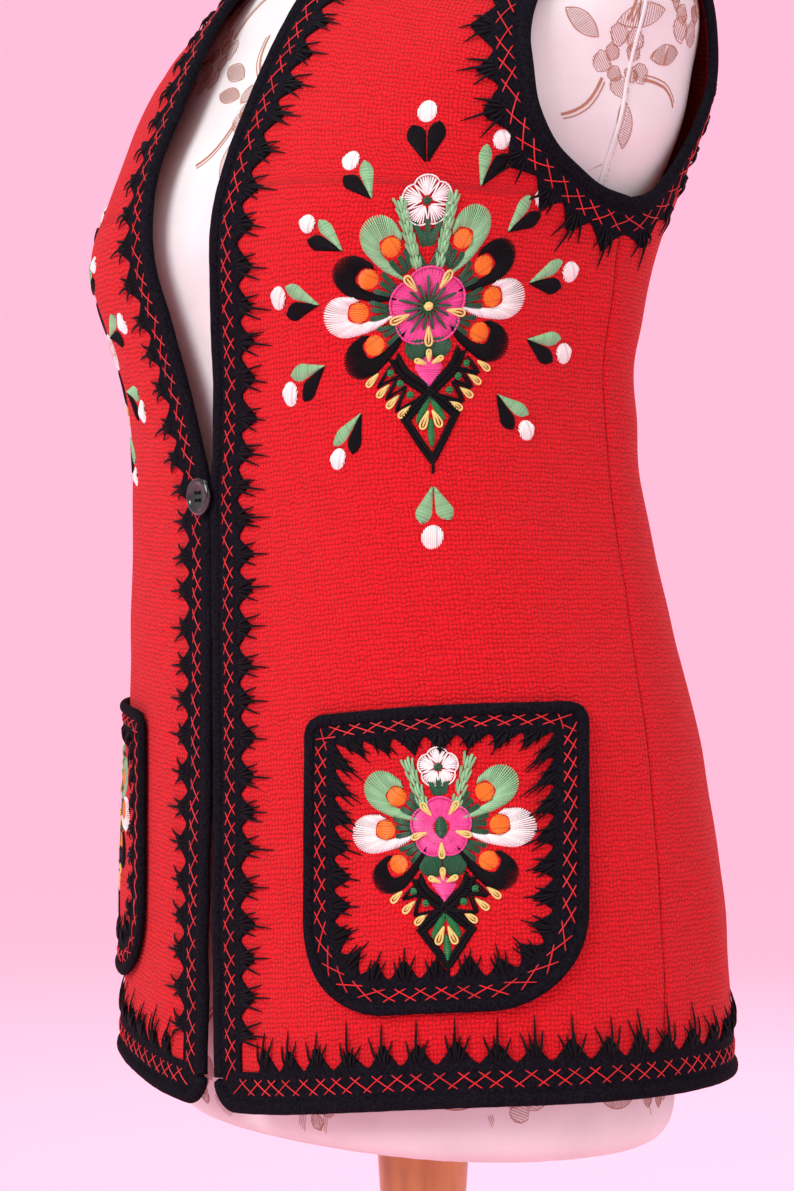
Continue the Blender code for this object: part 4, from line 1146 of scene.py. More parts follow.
def white_daisy(sewing, ground, centre, radius):
    """Five open petals of fine loops fanned from the middle, with a scalloped rim."""
    for k in range(5):
        q = math.radians(90 + 72 * k)
        aim, side = np.array([math.cos(q), math.sin(q)]), np.array([-math.sin(q), math.cos(q)])
        f = np.linspace(-1, 1, 10)
        reach = radius * (0.60 + 0.40 * np.sqrt(1 - 0.96 * f**2))
        tip = centre + aim * reach[:, None] + side * (f * radius * 0.50)[:, None]
        base = centre + aim * radius * 0.22 + side * (f * 0.5)[:, None]
        sewing.sew(ground, "white", threads(base, tip, rise=0.6), 0.40)
        sewing.sew(ground, "white", threads(tip[:-1], tip[1:], rise=0.75, dip=0.3), 0.36)
        sewing.sew(ground, "white", threads(base[[0, -1]], tip[[0, -1]], rise=0.8, dip=0.0), 0.38)
    sewing.sew(ground, "dark_green", knot(centre, 2.0), 0.8)


def clusters(sewing, ground, a, b, count):
    """A stem of short fat stitches stacked in uneven groups, like an ear of wheat."""
    a, b = np.asarray(a, float), np.asarray(b, float)
    ahead = (b - a) / np.linalg.norm(b - a)
    side = np.array([-ahead[1], ahead[0]])
    for k in range(count):
        at = a + (b - a) * (k + 0.5) / count
        f = np.array([-2.4, -0.8, 0.8, 2.4])
        slip = (1.3 * (np.arange(4) % 2) - 0.6 + dice.normal(0, 0.35, 4))[:, None] * ahead
        low = at + side * f[:, None] * 0.55 - ahead * 3.0 + slip
        high = at + side * f[:, None] * (1.0 + 0.1 * (k == count - 1)) + ahead * 3.2 + slip
        sewing.sew(ground, "light_green", threads(low, high, rise=0.9 + 0.1 * (k % 2)), 0.68)


# The two figures in millimetres, their flower's middle at nought: the flower's lobes and the gaps between
# them, the petals' dots with their colours, the daisy's height and radius, each stem's ends and number of
# groups, the fan of green stitches, the bud, the wreath under the flower, and the lozenge at the foot
CHEST = {
    "flower": (18.0, 15.0), "petal_scale": 1.0,
    "dots": (("light_green", (17, 28.5)), ("black", (27.5, 15)), ("white", (32, 0)), ("black", (25, -15.3))),
    "daisy": (48.0, 12.0), "stems": ((5, 18), (13, 50), 6), "fan": (27.0, 1.0), "leaf_low": 0.0,
    "bud": (-24.0, -38.5, 13.0), "arms": [(15.5, -22.5), (11, -30), (0, -39)],
    "zigzag": [(18, -25.5), (24, -34), (14.5, -30.5), (20, -40), (11, -35.5), (15.5, -46), (0, -39.5)],
    "knots": [(18, -28.5), (13.5, -33.8), (9, -39.5)],
    "seeds": [(26.5, -30.5), (21.5, -36), (17, -41.5), (11.5, -46.5)],
    "lozenge": (-39.5, -50.5, -70, -76),
}
POCKET = {
    "flower": (13.8, 11.4), "petal_scale": 0.95,
    "dots": (("light_green", (20, 15)), ("white", (26, 0)), ("black", (20.5, -16))),
    "daisy": (27.5, 9.3), "stems": ((7, 8.5), (14.5, 32), 4), "fan": (14.0, 0.62), "leaf_low": 2.0,
    "bud": (-22.5, -34.0, 11.0), "arms": [(12, -23), (9, -29), (0, -37)],
    "zigzag": [(14, -26), (19.5, -32), (11, -30), (14, -39.5), (0, -37)],
    "knots": [(14, -28.5), (8.5, -34)],
    "seeds": [(22, -30.5), (16.5, -35.5), (11, -41)],
    "lozenge": (-37.0, -46.5, -63, -67),
}
LOZENGE_HALF = 11.5
MIRROR = tuple((sign, np.array([sign, 1.0])) for sign in (1, -1))


def motif(name, ground, chest):
    """The whole figure on the chest or on a pocket, from the flower up and then down."""
    sewing = Sewing()
    shape = CHEST if chest else POCKET
    flower(sewing, ground, *shape["flower"], chest)
    for colour, place in shape["dots"]:
        for sign, flip in MIRROR:
            comma_petal(sewing, ground, colour, place * flip, sign, shape["petal_scale"])
    height, radius = shape["daisy"]
    white_daisy(sewing, ground, np.array([0.0, height]), radius)
    low, high, count = shape["stems"]
    for _, flip in MIRROR:
        clusters(sewing, ground, low * flip, high * flip, count)
    fan(sewing, ground, *shape["fan"])
    if chest:
        for sign, _ in MIRROR:
            leaf = threads([[0, 17], [0.6 * sign, 16.2]], [[5 * sign, 26], [6 * sign, 25.2]], rise=0.8)
            sewing.sew(ground, "dark_green", leaf, 0.5)
    for sign, _ in MIRROR:
        at = np.array([5.4 * sign, shape["leaf_low"] - 18.8])
        sewing.sew(ground, "dark_green", oval(at, 5.8, 4.9, 90 - 20 * sign, rise=0.9, along=True), 0.46)
    bud_top, bud_tip, bud_wide = shape["bud"]
    sewing.sew(ground, "pink", drop((0, bud_tip), (0, bud_top), bud_wide), 0.46)
    for x, lean in ((-3.8, 155), (0, 90), (3.8, 25)):
        seed(sewing, ground, np.array([x, bud_top + (1.2 if x == 0 else -1.2)]), 5.6, lean, 0.9)
    top, wide, tip, end = shape["lozenge"]
    for sign, flip in MIRROR:
        wreath(sewing, ground, shape["arms"] * flip, shape["zigzag"] * flip)
        lozenge(sewing, ground, top, wide, tip, sign)
    for _, at in pairs(shape["knots"]):
        sewing.sew(ground, "mid_green", knot(at, 1.9), 0.62)
    for sign, at in pairs(shape["seeds"]):
        seed(sewing, ground, at, 7.4, -42 if sign > 0 else -138)
    sewing.sew(ground, "mid_green", oval((0, top - 18.0), 6.0, 1.5, 90, rise=0.8), 0.42)
    sewing.sew(ground, "black", threads([[0, tip + 2]], [[0, end]], rise=0.7), 0.8)
    if chest:
        sprigs(sewing, ground)
    return sewing.finish(name)


def fan(sewing, ground, base, part):
    """Five sprays of three green stitches above the flower."""
    near = np.array([-0.8, 0, 0.8])
    for x, y in ((-6.5, 13), (-3, 8), (0, 16), (3, 8), (6.5, 13)):
        a = np.stack([x * 0.25 + near, np.full(3, base)], -1)
        b = np.stack([x * part + near, np.full(3, base + y * part)], -1)
        sewing.sew(ground, "dark_green", threads(a, b, rise=0.9), 0.5)


def wreath(sewing, ground, arm, zigzag):
    """One half of the black wreath under the flower: a plaited arm and a zigzag of paired stitches."""
    sewing.sew(ground, "black", braid(arm, 5.4), 0.66)
    off = np.array([0.55, 0.35])
    for near, far in zip(zigzag[:-1], zigzag[1:]):
        pair = threads([near - off, near + off], [far - off, far + off], rise=0.75)
        sewing.sew(ground, "black", pair, 0.56)


def lozenge(sewing, ground, top, wide, tip, sign):
    """One half of the black lozenge, with its green leaf and looped stitch inside."""
    flip = np.array([sign, 1.0])
    upper = [(0, top), (LOZENGE_HALF * 0.55, (top + wide) / 2), (LOZENGE_HALF, wide)]
    lower = [(LOZENGE_HALF, wide), (LOZENGE_HALF * 0.5, (wide + tip) / 2), (0, tip)]
    sewing.sew(ground, "black", braid(upper * flip, 4.4), 0.62)
    sewing.sew(ground, "black", braid(lower * flip, 3.2), 0.60)
    leaf = oval(np.array([3.1, top - 7.0]) * flip, 6.4, 1.7, -90 + 27 * sign, rise=0.8)
    sewing.sew(ground, "mid_green", leaf, 0.42)
    seed(sewing, ground, np.array([2.6 * sign, top - 12.0]), 8.5, -90 + 22 * sign, 0.3)


def drop(root, head, wide):
    """A tapering drop of satin stitches from a narrow root to a round head."""
    root, head = np.asarray(root, float), np.asarray(head, float)
    ahead = (head - root) / np.linalg.norm(head - root)
    side = np.array([-ahead[1], ahead[0]])
    f = np.linspace(0.04, 1, max(int(np.linalg.norm(head - root) / 0.75), 6))[:, None]
    half = wide / 2 * np.where(f < 0.7, (f / 0.7)**0.9, np.sqrt(np.maximum(1 - ((f - 0.7) / 0.31)**2, 0.02)))
    line = root + (head - root) * f
    return threads(line - side * half - ahead * 0.5, line + side * half + ahead * 0.5, rise=0.8)


def sprigs(sewing, ground):
    """Loose sprigs round the chest's figure: a white oval with a green leaf and a black drop behind it."""
    sewing.sew(ground, "white", oval((0, 90), 5.4, 4.3, 90, along=True), 0.44)
    sewing.sew(ground, "white", oval((-1, -104), 5.4, 4.0, 90, along=True), 0.44)
    for sign in (1, -1):
        sewing.sew(ground, "black", drop((0.6 * sign, 66), (6.4 * sign, 83.5), 9.6), 0.44)
        sewing.sew(ground, "light_green", drop((0.5 * sign, -82), (5.6 * sign, -97), 7.0), 0.44)
    for sign, at in pairs([(36, 72), (58, 42), (74, 5.5), (71, -30.5), (46, -63)]):
        inward = -at / np.linalg.norm(at)
        side = np.array([-inward[1], inward[0]]) * sign
        root = at + inward * 22.5
        sewing.sew(ground, "white", oval(at, 4.8, 3.9, 90 + 14 * sign, rise=0.8, along=True), 0.44)
        sewing.sew(ground, "light_green", drop(root, at + inward * 5.0 - side * 5.4, 6.6), 0.44)
        sewing.sew(ground, "black", drop(root, at + inward * 6.0 + side * 5.6, 8.0), 0.44)


# Pockets

TOP_BEND = 0.25
POCKET_RUNS = (6, 3, 3, 3, 6, TOP_BEND, 7, TOP_BEND)
POCKET_LAPS = sum(POCKET_RUNS)


def pocket_outline(lap, inset):
    """
    A point of the pocket's outline in metres from its middle, at a lap counted in teeth: down the
    front side, round the bottom, up the other side and back along the top.
    """
    half, top = POCKET_WIDTH / 2 - inset, POCKET_HEIGHT / 2 - inset
    low = POCKET_BOTTOM_RADIUS - inset
    high = np.maximum(POCKET_TOP_RADIUS - inset, 0.0004)
    starts = np.concatenate([[0], np.cumsum(POCKET_RUNS)])
    lap = np.mod(lap, POCKET_LAPS)
    k = np.clip(np.searchsorted(starts, lap, side="right") - 1, 0, 7)
    f = (lap - starts[k]) / np.array(POCKET_RUNS)[k]
    q = math.pi / 2 * f

    def quarter(cx, cy, radius, turn):
        return cx + radius * np.cos(q + turn), cy + radius * np.sin(q + turn)

    options = [
        (-half, top - high + (low - 2 * top + high) * f),
        quarter(-half + low, -top + low, low, math.pi),
        (-half + low + 2 * (half - low) * f, -top),
        quarter(half - low, -top + low, low, 1.5 * math.pi),
        (half, -top + low + (2 * top - low - high) * f),
        quarter(half - high, top - high, high, 0.0),
        (half - high - 2 * (half - high) * f, top),
        quarter(-half + high, top - high, high, 0.5 * math.pi)]
    spots = np.stack([np.stack(np.broadcast_arrays(x, y, lap + inset)[:2], -1) for x, y in options])
    return np.take_along_axis(spots, np.broadcast_to(k, spots.shape[1:-1])[None, ..., None], 0)[0]


POCKET_PUFF = 0.0006
POCKET_WAVE = 0.0005
POCKET_TUCK = 0.0032
POCKET_FELT_EDGE = 0.0040
POCKET_TOOTH_MORE = 0.002
POCKET_TOOTH_VARIES = 0.06
POCKET_TOOTH_POWER = 1.2
POCKET_ROLL_INSET = 0.0027
POCKET_ROLL_WIDE = 0.0029
# The pocket's herringbone: number of stitches, the share of one by which they cross, and both insets
POCKET_CROSSES = 44
POCKET_OVERLAP = 0.33
POCKET_CROSS_INSETS = (6.0, 12.8)
# The pocket's spikes: start and end along the outline in teeth from a tooth's middle, and both insets
POCKET_SPIKES = ((0, 0.02, 16.0, 32.0), (-0.12, -0.36, 16.0, 26.5), (0.12, 0.36, 16.0, 26.5),
                 (-0.05, -0.16, 17.0, 28.0))
POCKET_SPIKE_SINK = 1.25
POCKET_SPIKE_RADIUS = 0.54


def pocket_patch(side, word):
    """The pocket's wool, a little puffed, its lower corners round."""
    corner_rows, rows = 26, 58
    half, top = POCKET_WIDTH / 2 - POCKET_TUCK, POCKET_HEIGHT / 2 - POCKET_TUCK
    radius = POCKET_BOTTOM_RADIUS - POCKET_TUCK
    turn = np.radians(np.linspace(4, 90, corner_rows))
    high = np.concatenate([-top + radius * (1 - np.cos(turn)),
                           np.linspace(-top + radius, top, rows - corner_rows)[1:]])
    bow = np.sqrt(np.maximum(radius**2 - (radius - (high + top))**2, 0))
    width = np.where(high < -top + radius, half - radius + bow, half)
    across = np.linspace(-1, 1, 50)
    flat = np.stack(np.broadcast_arrays(width[:, None] * across, high[:, None]), -1)
    puff = POCKET_PUFF * np.cos(across * math.pi / 2)[None] * np.cos(flat[..., 1] / POCKET_HEIGHT * math.pi)
    puff = puff + POCKET_WAVE * np.sin(flat[..., 0] * 90 + side) * np.sin(flat[..., 1] * 70)
    s, phi = pocket_ground(side, POCKET_OUT).spot(flat * 1000)
    if side < 0:
        s, phi, flat, puff = s[:, ::-1], -phi[:, ::-1], flat[:, ::-1], puff[:, ::-1]
    outer = cloth(s, phi, POCKET_OUT + POCKET_WALL + puff)
    inner = cloth(s, phi, POCKET_OUT + np.maximum(puff, 0))
    cover = shell("pocket_" + word, outer, inner, flat, WOOL, False, ["pocket_" + word])


def pocket_frame(side, word, over):
    """The felt round the pocket, its cut edge towards the middle, plain at both upper corners."""
    lap = np.arange(0, POCKET_LAPS, POCKET_LAPS / 360)
    starts = np.concatenate([[0], np.cumsum(POCKET_RUNS)])
    part = np.searchsorted(starts, lap, side="right") - 1
    teeth_at = lap - np.where(part > 5, TOP_BEND, 0) - np.where(part == 5, lap - starts[5], 0)
    teeth_at = np.where(part == 7, 28.0, teeth_at)
    way = 1 - np.abs(np.mod(teeth_at, 1.0) - 0.5) * 2
    way = np.where((part == 5) | (part == 7), 0.0, way)
    tip = (POCKET_TIP + POCKET_TOOTH_MORE) * waver(teeth_at.astype(int), POCKET_TOOTH_VARIES)
    depth = POCKET_VALLEY + (tip - POCKET_VALLEY) * blunt(way, POCKET_TOOTH_POWER)
    reach = POCKET_FELT_EDGE + (ROLL_RADIUS + depth - POCKET_FELT_EDGE) * FELT_PARTS[:, None]
    s, phi = over.spot(pocket_outline(lap[None] + 0 * reach, reach) * 1000)
    s, phi = (s, phi) if side > 0 else (s[:, ::-1], -phi[:, ::-1])
    frame_felt = felt_shell("pocket_felt_" + word, (s, phi), POCKET_FELT_OUT, True)


def pocket_roll(side, word, over):
    lap = np.arange(0, POCKET_LAPS, POCKET_LAPS / 240)
    line_flat = pocket_outline(lap, np.full(len(lap), POCKET_ROLL_INSET))
    ring = even_curve(np.concatenate([line_flat, line_flat[:1]]), 241)[:-1]
    s, phi = over.spot(ring * 1000)
    line, ups = cloth(s, phi * side, POCKET_ROLL_OUT, normals=True)
    edge = roll_piece("pocket_binding_" + word, line, ups, True, 0.50, POCKET_ROLL_WIDE)


def pocket_sewing(side, word):
    """The pocket's herringbone and spikes, which follow its outline."""
    sewing = Sewing()
    ground = pocket_ground(side, POCKET_FELT_OUT + FELT_WALL)

    def at(lap, inset):
        return pocket_outline(lap, inset / 1000 + 0 * lap) * 1000

    k = np.arange(POCKET_CROSSES)
    step = POCKET_LAPS / POCKET_CROSSES
    e = POCKET_OVERLAP
    outer, inner = POCKET_CROSS_INSETS
    ends = ((at((k - e) * step, outer), at((k + 0.5 + e) * step, inner)),
            (at((k + 0.5 - e) * step, inner), at((k + 1 + e) * step, outer)))
    for (a, b), rise in zip(ends, CROSS_RISES):
        sewing.sew(ground, "red", threads(a, b, rise=rise, points=7), CROSS_RADIUS)
    tips = np.concatenate([np.arange(21) + 0.5, 21.5 + TOP_BEND + np.arange(7)])
    lines = []
    for shift, end_shift, near, far in POCKET_SPIKES:
        reach = far + dice.normal(0, 1.1, len(tips)) - 0.25 * (far - near) * (tips > 21)
        lines.append(spike(at(tips + shift, near), at(tips + end_shift, reach), POCKET_SPIKE_SINK))
    sewing.sew(ground, "black", np.concatenate(lines), SPIKE_TAPER * POCKET_SPIKE_RADIUS, flat=SPIKE_FLAT)
    sewing.finish("sewing_pocket_" + word)


def pocket_pieces(side, word):
    over = pocket_ground(side, 0.0)
    pocket_patch(side, word)
    pocket_frame(side, word, over)
    pocket_roll(side, word, over)
    pocket_sewing(side, word)
    figure_ground = spread(0.1082, 46.51, 0.0, 0.0, POCKET_OUT + POCKET_WALL + 0.0005, side)
    motif("embroidery_pocket_" + word, figure_ground, False)


# The button

def lathe(profile, turns, centre=(0.0, 0.0), squash=1.0):
    """Points and faces of a profile of radius and height, top to bottom, turned round an upright axis."""
    profile = np.asarray(profile, float)
    angle = np.arange(turns) * 2 * math.pi / turns
    ring = np.stack([centre[0] + profile[1:-1, :1] * np.cos(angle),
                     centre[1] + profile[1:-1, :1] * np.sin(angle) * squash,
                     np.repeat(profile[1:-1, 1:], turns, 1)], -1)
    ends = np.array([[*centre, profile[0, 1]], [*centre, profile[-1, 1]]])
    count = ring.shape[0] * turns
    i, j = quad_grid(ring.shape[0], turns, wrap=True)
    quads = (i * turns + j % turns)[:, ::-1]
    k = np.arange(turns)
    n = (k + 1) % turns
    top = np.stack([0 * k + count, k, n], -1)
    low = np.stack([0 * k + count + 1, count - turns + n, count - turns + k], -1)
    return np.concatenate([ring.reshape(-1, 3), ends]), [quads, top, low]


def rounded(points, step):
    """A profile with a point every step of its length."""
    points = np.asarray(points, float)
    run = np.concatenate([[0], np.cumsum(np.linalg.norm(np.diff(points, axis=0), axis=-1))])
    at = np.unique(np.concatenate([run, np.arange(0, run[-1], step)]))
    return np.stack([np.interp(at, run, points[:, k]) for k in (0, 1)], -1)


def as_mesh(maker, name):
    """A piece's finished mesh, with its modifiers carried out."""
    found = maker.evaluated_get(bpy.context.evaluated_depsgraph_get())
    mesh = bpy.data.meshes.new_from_object(found)
    mesh.name = name
    return mesh


def helper(name, points, faces):
    mesh = bpy.data.meshes.new(name)
    mesh.from_pydata(np.asarray(points).tolist(), [], plain_lists(faces))
    return placed(name, mesh)


def finished(name, mesh, materials, nodes, sharp=50.0):
    mesh.materials.clear()
    for one in materials:
        mesh.materials.append(one)
    mesh.shade_smooth()
    mesh.set_sharp_from_angle(angle=math.radians(sharp))
    made = placed(name, mesh)
    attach(made, "root")
    if nodes:
        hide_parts(*nodes)
    return made


BUTTON_HEIGHT = 0.5780
BUTTON_SIDE = -0.0030
BUTTON_HOLE = 0.0018


def button():
    """A dished disc with four holes cut through it, leant to the rolls it lies on, and its thread."""
    radius, half, rim, dish = 0.00925, 0.0016, 0.0016, 0.0009
    q = np.radians(np.linspace(90, -90, 13))
    edge = [(radius - half + half * math.cos(a), half * math.sin(a)) for a in q]
    profile = [(0.0, half - dish), (0.002, half - dish), (radius - 2.3 * rim, half - dish),
               (radius - 1.9 * rim, half - dish * 0.75), (radius - 1.5 * rim, half - dish * 0.25),
               (radius - 1.25 * rim, half - 0.00005), *edge, (0.004, -half), (0.0, -half)]
    disc = helper("button_disc", *lathe(profile, 72))
    points, faces = [], []
    for x in (-1, 1):
        for y in (-1, 1):
            post, sides = lathe([(0, 0.01), (0.0010, 0.01), (0.0010, -0.01), (0, -0.01)], 20,
                                (x * BUTTON_HOLE, y * BUTTON_HOLE))
            faces += [part + sum(map(len, points)) for part in sides]
            points.append(post)
    holes = helper("button_holes", np.concatenate(points), faces)
    cut = disc.modifiers.new("holes", "BOOLEAN")
    cut.object, cut.solver = holes, "EXACT"
    mesh = as_mesh(disc, "button_dished")
    for spare in (disc, holes):
        bpy.data.objects.remove(spare, do_unlink=True)
    rows = row_of(BUTTON_HEIGHT + radius * np.array([-1, 1]))
    low, high = cloth(rows, np.array([1.5, 1.5]), ROLL_OUT + ROLL_RADIUS)
    lean = math.atan2(low[1] - high[1], high[2] - low[2]) + math.pi / 2
    turn = np.array([[1, 0, 0], [0, math.cos(lean), -math.sin(lean)], [0, math.sin(lean), math.cos(lean)]])
    spot = np.array([BUTTON_SIDE, (low[1] + high[1]) / 2 - half - 0.0003, BUTTON_HEIGHT])
    flat = np.empty(len(mesh.vertices) * 3)
    mesh.vertices.foreach_get("co", flat)
    mesh.vertices.foreach_set("co", (flat.reshape(-1, 3) @ turn.T + spot).ravel())
    made = finished("button_dished", mesh, [GLOSS], ["button"], 40.0)
    ends = np.array([[(-BUTTON_HOLE, y, 0), (BUTTON_HOLE, y, 0)] for y in (-BUTTON_HOLE, BUTTON_HOLE)])
    f = np.linspace(0, 1, 10)[:, None]
    lines = np.stack([a + (b - a) * f for a, b in ends])
    lines[..., 2] = half - dish - 0.0006 + 0.0012 * np.sin(math.pi * f[:, 0])**0.4
    lines = np.concatenate([lines + np.array([0, d, 0]) for d in (-0.0003, 0.0003)])
    ups = np.zeros_like(lines) + turn @ np.array([0, 0, 1.0])
    points, faces, marks = tube_mesh(lines @ turn.T + spot, ups, np.full(lines.shape[:2], 0.0003), 8)
    add_mesh("button_thread", points, faces, THREAD["black"], marks)
    return made


# The dress form and its stand

FORM_BOTTOM = 0.262
FORM_FOOT = 0.022
# The form inside the cloth: where the vest rests on it, how much more elsewhere, how much less of that
# behind the armholes, and what is added at the hem and at the neck
FORM_CLOSE = 0.0036
FORM_LOOSE = 0.011
FORM_ARM = 0.0068
FORM_HEM = 0.013
FORM_NECK = 0.0048


def form_inset(s, phi):
    """How far the form lies inside the cloth: least where the vest rests, and little behind the armholes."""
    height = through(SECTIONS, s * (len(SECTIONS) - 1))[..., 0]
    side = np.abs((phi + 180) % 360 - 180)
    bust = np.exp(-((side - BUST_ANGLE) / 24)**2 - ((height - BUST_HEIGHT) / 0.07)**2)
    high = np.clip((height - 0.80) / 0.06, 0, 1)
    high = high * high * (3 - 2 * high)
    low = np.clip((0.40 - height) / 0.11, 0, 1)**2
    neck = high * np.exp(-(figure(s, phi)[..., 0] / 0.08)**2)
    arm = np.exp(-((side - 108) / 32)**2 - ((height - 0.765) / 0.075)**2) * (1 - high)
    loose = (FORM_LOOSE - FORM_ARM * arm) * (1 - bust) * (1 - high)
    return FORM_CLOSE + loose + FORM_HEM * low + FORM_NECK * neck


def form_cover():
    """The form: the cloth's surface drawn in, with a rounded foot and the neck joined on, made even."""
    count = 200
    rows = np.concatenate([np.linspace(0, 0.9, 130), np.linspace(0.9, 1 - 1e-4, 40)[1:]])
    s, phi = np.meshgrid(rows, np.arange(count) * 360 / count, indexing="ij")
    body = level(s, phi, -form_inset(s, phi))
    body[-1] = (body[-1] + body[-1, (count // 2 - np.arange(count)) % count]) / 2
    low = body[0]
    middle = low[:, :2].mean(axis=0)
    foot = []
    for angle in np.radians(np.linspace(0, 82, 9)):
        ring = low.copy()
        ring[:, :2] -= unit(low[:, :2] - middle) * FORM_FOOT * (1 - math.sin(angle))
        lowest = FORM_BOTTOM + FORM_FOOT * 0.6 * (1 - math.cos(angle))
        blend = (math.degrees(angle) / 90)**3 * 0.35
        ring[:, 2] = low[:, 2] * blend + lowest * (1 - blend)
        foot.append(ring)
    rings_up = np.concatenate([np.array(foot), body])
    points = np.concatenate([rings_up.reshape(-1, 3), [[*middle, FORM_BOTTOM]]])
    i, j = quad_grid(len(rings_up), count, wrap=True)
    k = np.arange(count)
    faces = [i * count + j % count, np.stack([0 * k + len(points) - 1, (k + 1) % count, k], -1)]
    torso = helper("form_body", points, faces)
    bend = [(0.048 + 0.006 * math.cos(a), 0.954 + 0.006 * math.sin(a))
            for a in np.radians(np.linspace(90, 0, 7))]
    stub = rounded([(0, 0.960), *bend, (0.054, 0.93), (0.0562, 0.90), (0.049, 0.85), (0, 0.85)], 0.004)
    neck = helper("form_neck", *lathe(stub, 96, (0.0, 0.018), 0.052 / 0.054))
    join = torso.modifiers.new("neck", "BOOLEAN")
    join.operation, join.object, join.solver = "UNION", neck, "EXACT"
    even = torso.modifiers.new("even", "REMESH")
    even.mode, even.voxel_size = "VOXEL", 0.0058
    soft = torso.modifiers.new("soft", "SMOOTH")
    soft.factor, soft.iterations = 0.5, 8
    mesh = as_mesh(torso, "form_cover")
    for spare in (torso, neck):
        bpy.data.objects.remove(spare, do_unlink=True)
    return finished("form_cover", mesh, [COVER], ["form_torso"], 180.0)


# Where the print shows: row up the form, turn from the front in degrees, size
PRINT_SPOTS = np.array([
    (-0.002, 14, 1.0), (0.004, 60, 1.0), (-0.004, 103, 1.0), (0.002, 150, 1.0), (-0.002, 205, 1.0),
    (0.004, 252, 1.0), (-0.004, 298, 1.0), (0.002, 340, 1.0), (0.800, 107, 1.1), (0.905, 72, 0.9),
    (0.700, 84, 0.9), (0.930, 100, 0.8), (0.800, 252, 1.1), (0.905, 288, 0.9), (0.700, 276, 0.9),
    (0.930, 260, 0.8), (0.600, 4, 0.9), (0.690, 345, 1.0), (0.770, 14, 1.0), (0.855, 352, 1.0),
    (0.930, 22, 0.9)])
HATCH = np.linspace(-1, 1, 3)
OUTLINE = np.linspace(0, 1, 9)


def blossom_lines(radius):
    """Round petals about a middle: their outlines, and the fine lines that fill them."""
    outlines, hatches = [], []
    for k in range(9):
        q = 2 * math.pi * k / 9 + 0.2 * math.sin(3 * k)
        ring = 0.46 if k % 2 else 0.74
        centre = radius * ring * np.array([math.cos(q), math.sin(q)])
        size = radius * (0.24 if k % 2 else 0.31)
        f = 2 * math.pi * OUTLINE
        reach = size * (1 + 0.10 * np.sin(3 * f + k))
        outlines.append(np.stack([centre[0] + reach * np.cos(f), centre[1] + reach * np.sin(f)], -1))
        for v in np.linspace(-0.82, 0.82, 8):
            x = 0.92 * size * math.sqrt(1 - v * v) * HATCH
            hatches.append(np.stack([centre[0] + x, centre[1] + size * v + 0.35 * x], -1))
    return outlines, hatches


def leaf_lines(length):
    """A pointed leaf: its two edges, and the slanting lines that fill it."""
    half = length * 0.19 * np.sin(math.pi * OUTLINE)**0.8
    outlines = [np.stack([length * OUTLINE, sign * half], -1) for sign in (1, -1)]
    hatches = []
    for at in np.linspace(0.08, 0.92, 18):
        y = length * 0.18 * math.sin(math.pi * at)**0.8 * HATCH
        hatches.append(np.stack([length * at + 0.45 * y, y], -1))
    return outlines, hatches


def turned(lines, angle):
    turn = np.array([[math.cos(angle), math.sin(angle)], [-math.sin(angle), math.cos(angle)]])
    return np.array(lines) @ turn


def form_seams():
    """The cover's side seams: a soft ridge from the bottom to the shoulder with a row of short stitches."""
    s = np.linspace(0.0, 0.975, 180)
    lines, ups, radii = [], [], []
    for side in (86.0, -86.0):
        phi = np.full(len(s), side)
        lines.append(level(s, phi, -form_inset(s, phi) + 0.0001))
        along, around = tangents(s, phi)
        ups.append(unit(np.cross(around, along)))
        radii.append(np.full(len(s), 0.0011))
    points, faces, marks = tube_mesh(np.array(lines), np.array(ups), np.array(radii), 8, 0.6)
    ridge = add_mesh("form_side_seams", points, faces, COVER, marks)
    at = np.linspace(0.01, 0.97, 150)
    short = []
    for side in (87.0, -87.0):
        step = np.linspace(-0.0014, 0.0014, 3)
        s, phi = at[:, None] + step, np.full((len(at), 3), side)
        rise = 0.0001 + 0.0005 * np.cos(np.linspace(-1.4, 1.4, 3))
        short.append(level(s, phi, -form_inset(s, phi) + rise))
    short = np.concatenate(short)
    up = np.tile(np.array([1.0, 0.0, 0.0]), (*short.shape[:2], 1))
    points, faces, marks = tube_mesh(short, up, np.full(short.shape[:2], 0.00028), 4)
    add_mesh("form_seam_stitches", points, faces, THREAD["white"], marks)


def print_strips(lines, widths, spots):
    """Flat strips along lines of millimetres about spots on the form, as points and faces."""
    s = np.broadcast_to(spots[:, None, 0], lines.shape[:2])
    phi = np.broadcast_to(spots[:, None, 1], lines.shape[:2])
    along, around = tangents(s, phi)
    side = unit(around)
    up = np.cross(unit(np.cross(around, along)), side)
    ahead = unit(np.gradient(lines, axis=1))
    across = np.stack([-ahead[..., 1], ahead[..., 0]], -1) * widths[:, None, None]
    both = []
    for edge in (lines - across, lines + across):
        aim = (edge[..., :1] * side + edge[..., 1:] * up) / 1000
        end_s, end_phi = walk(s, phi, unit(aim), np.linalg.norm(aim, axis=-1), 4)
        keep = np.clip(end_s, -0.018, 0.995)
        both.append(level(keep, end_phi, -form_inset(keep, end_phi) + 0.002))
    points = np.stack(both, 2)[((end_s > -0.016) & (end_s < 0.985)).all(1)]
    n, m = points.shape[:2]
    i, j = quad_grid(m, 2)
    faces = (np.arange(n)[:, None, None] * m * 2 + (i * 2 + j)[None]).reshape(-1, 4)[:, ::-1]
    return points.reshape(-1, 3), faces


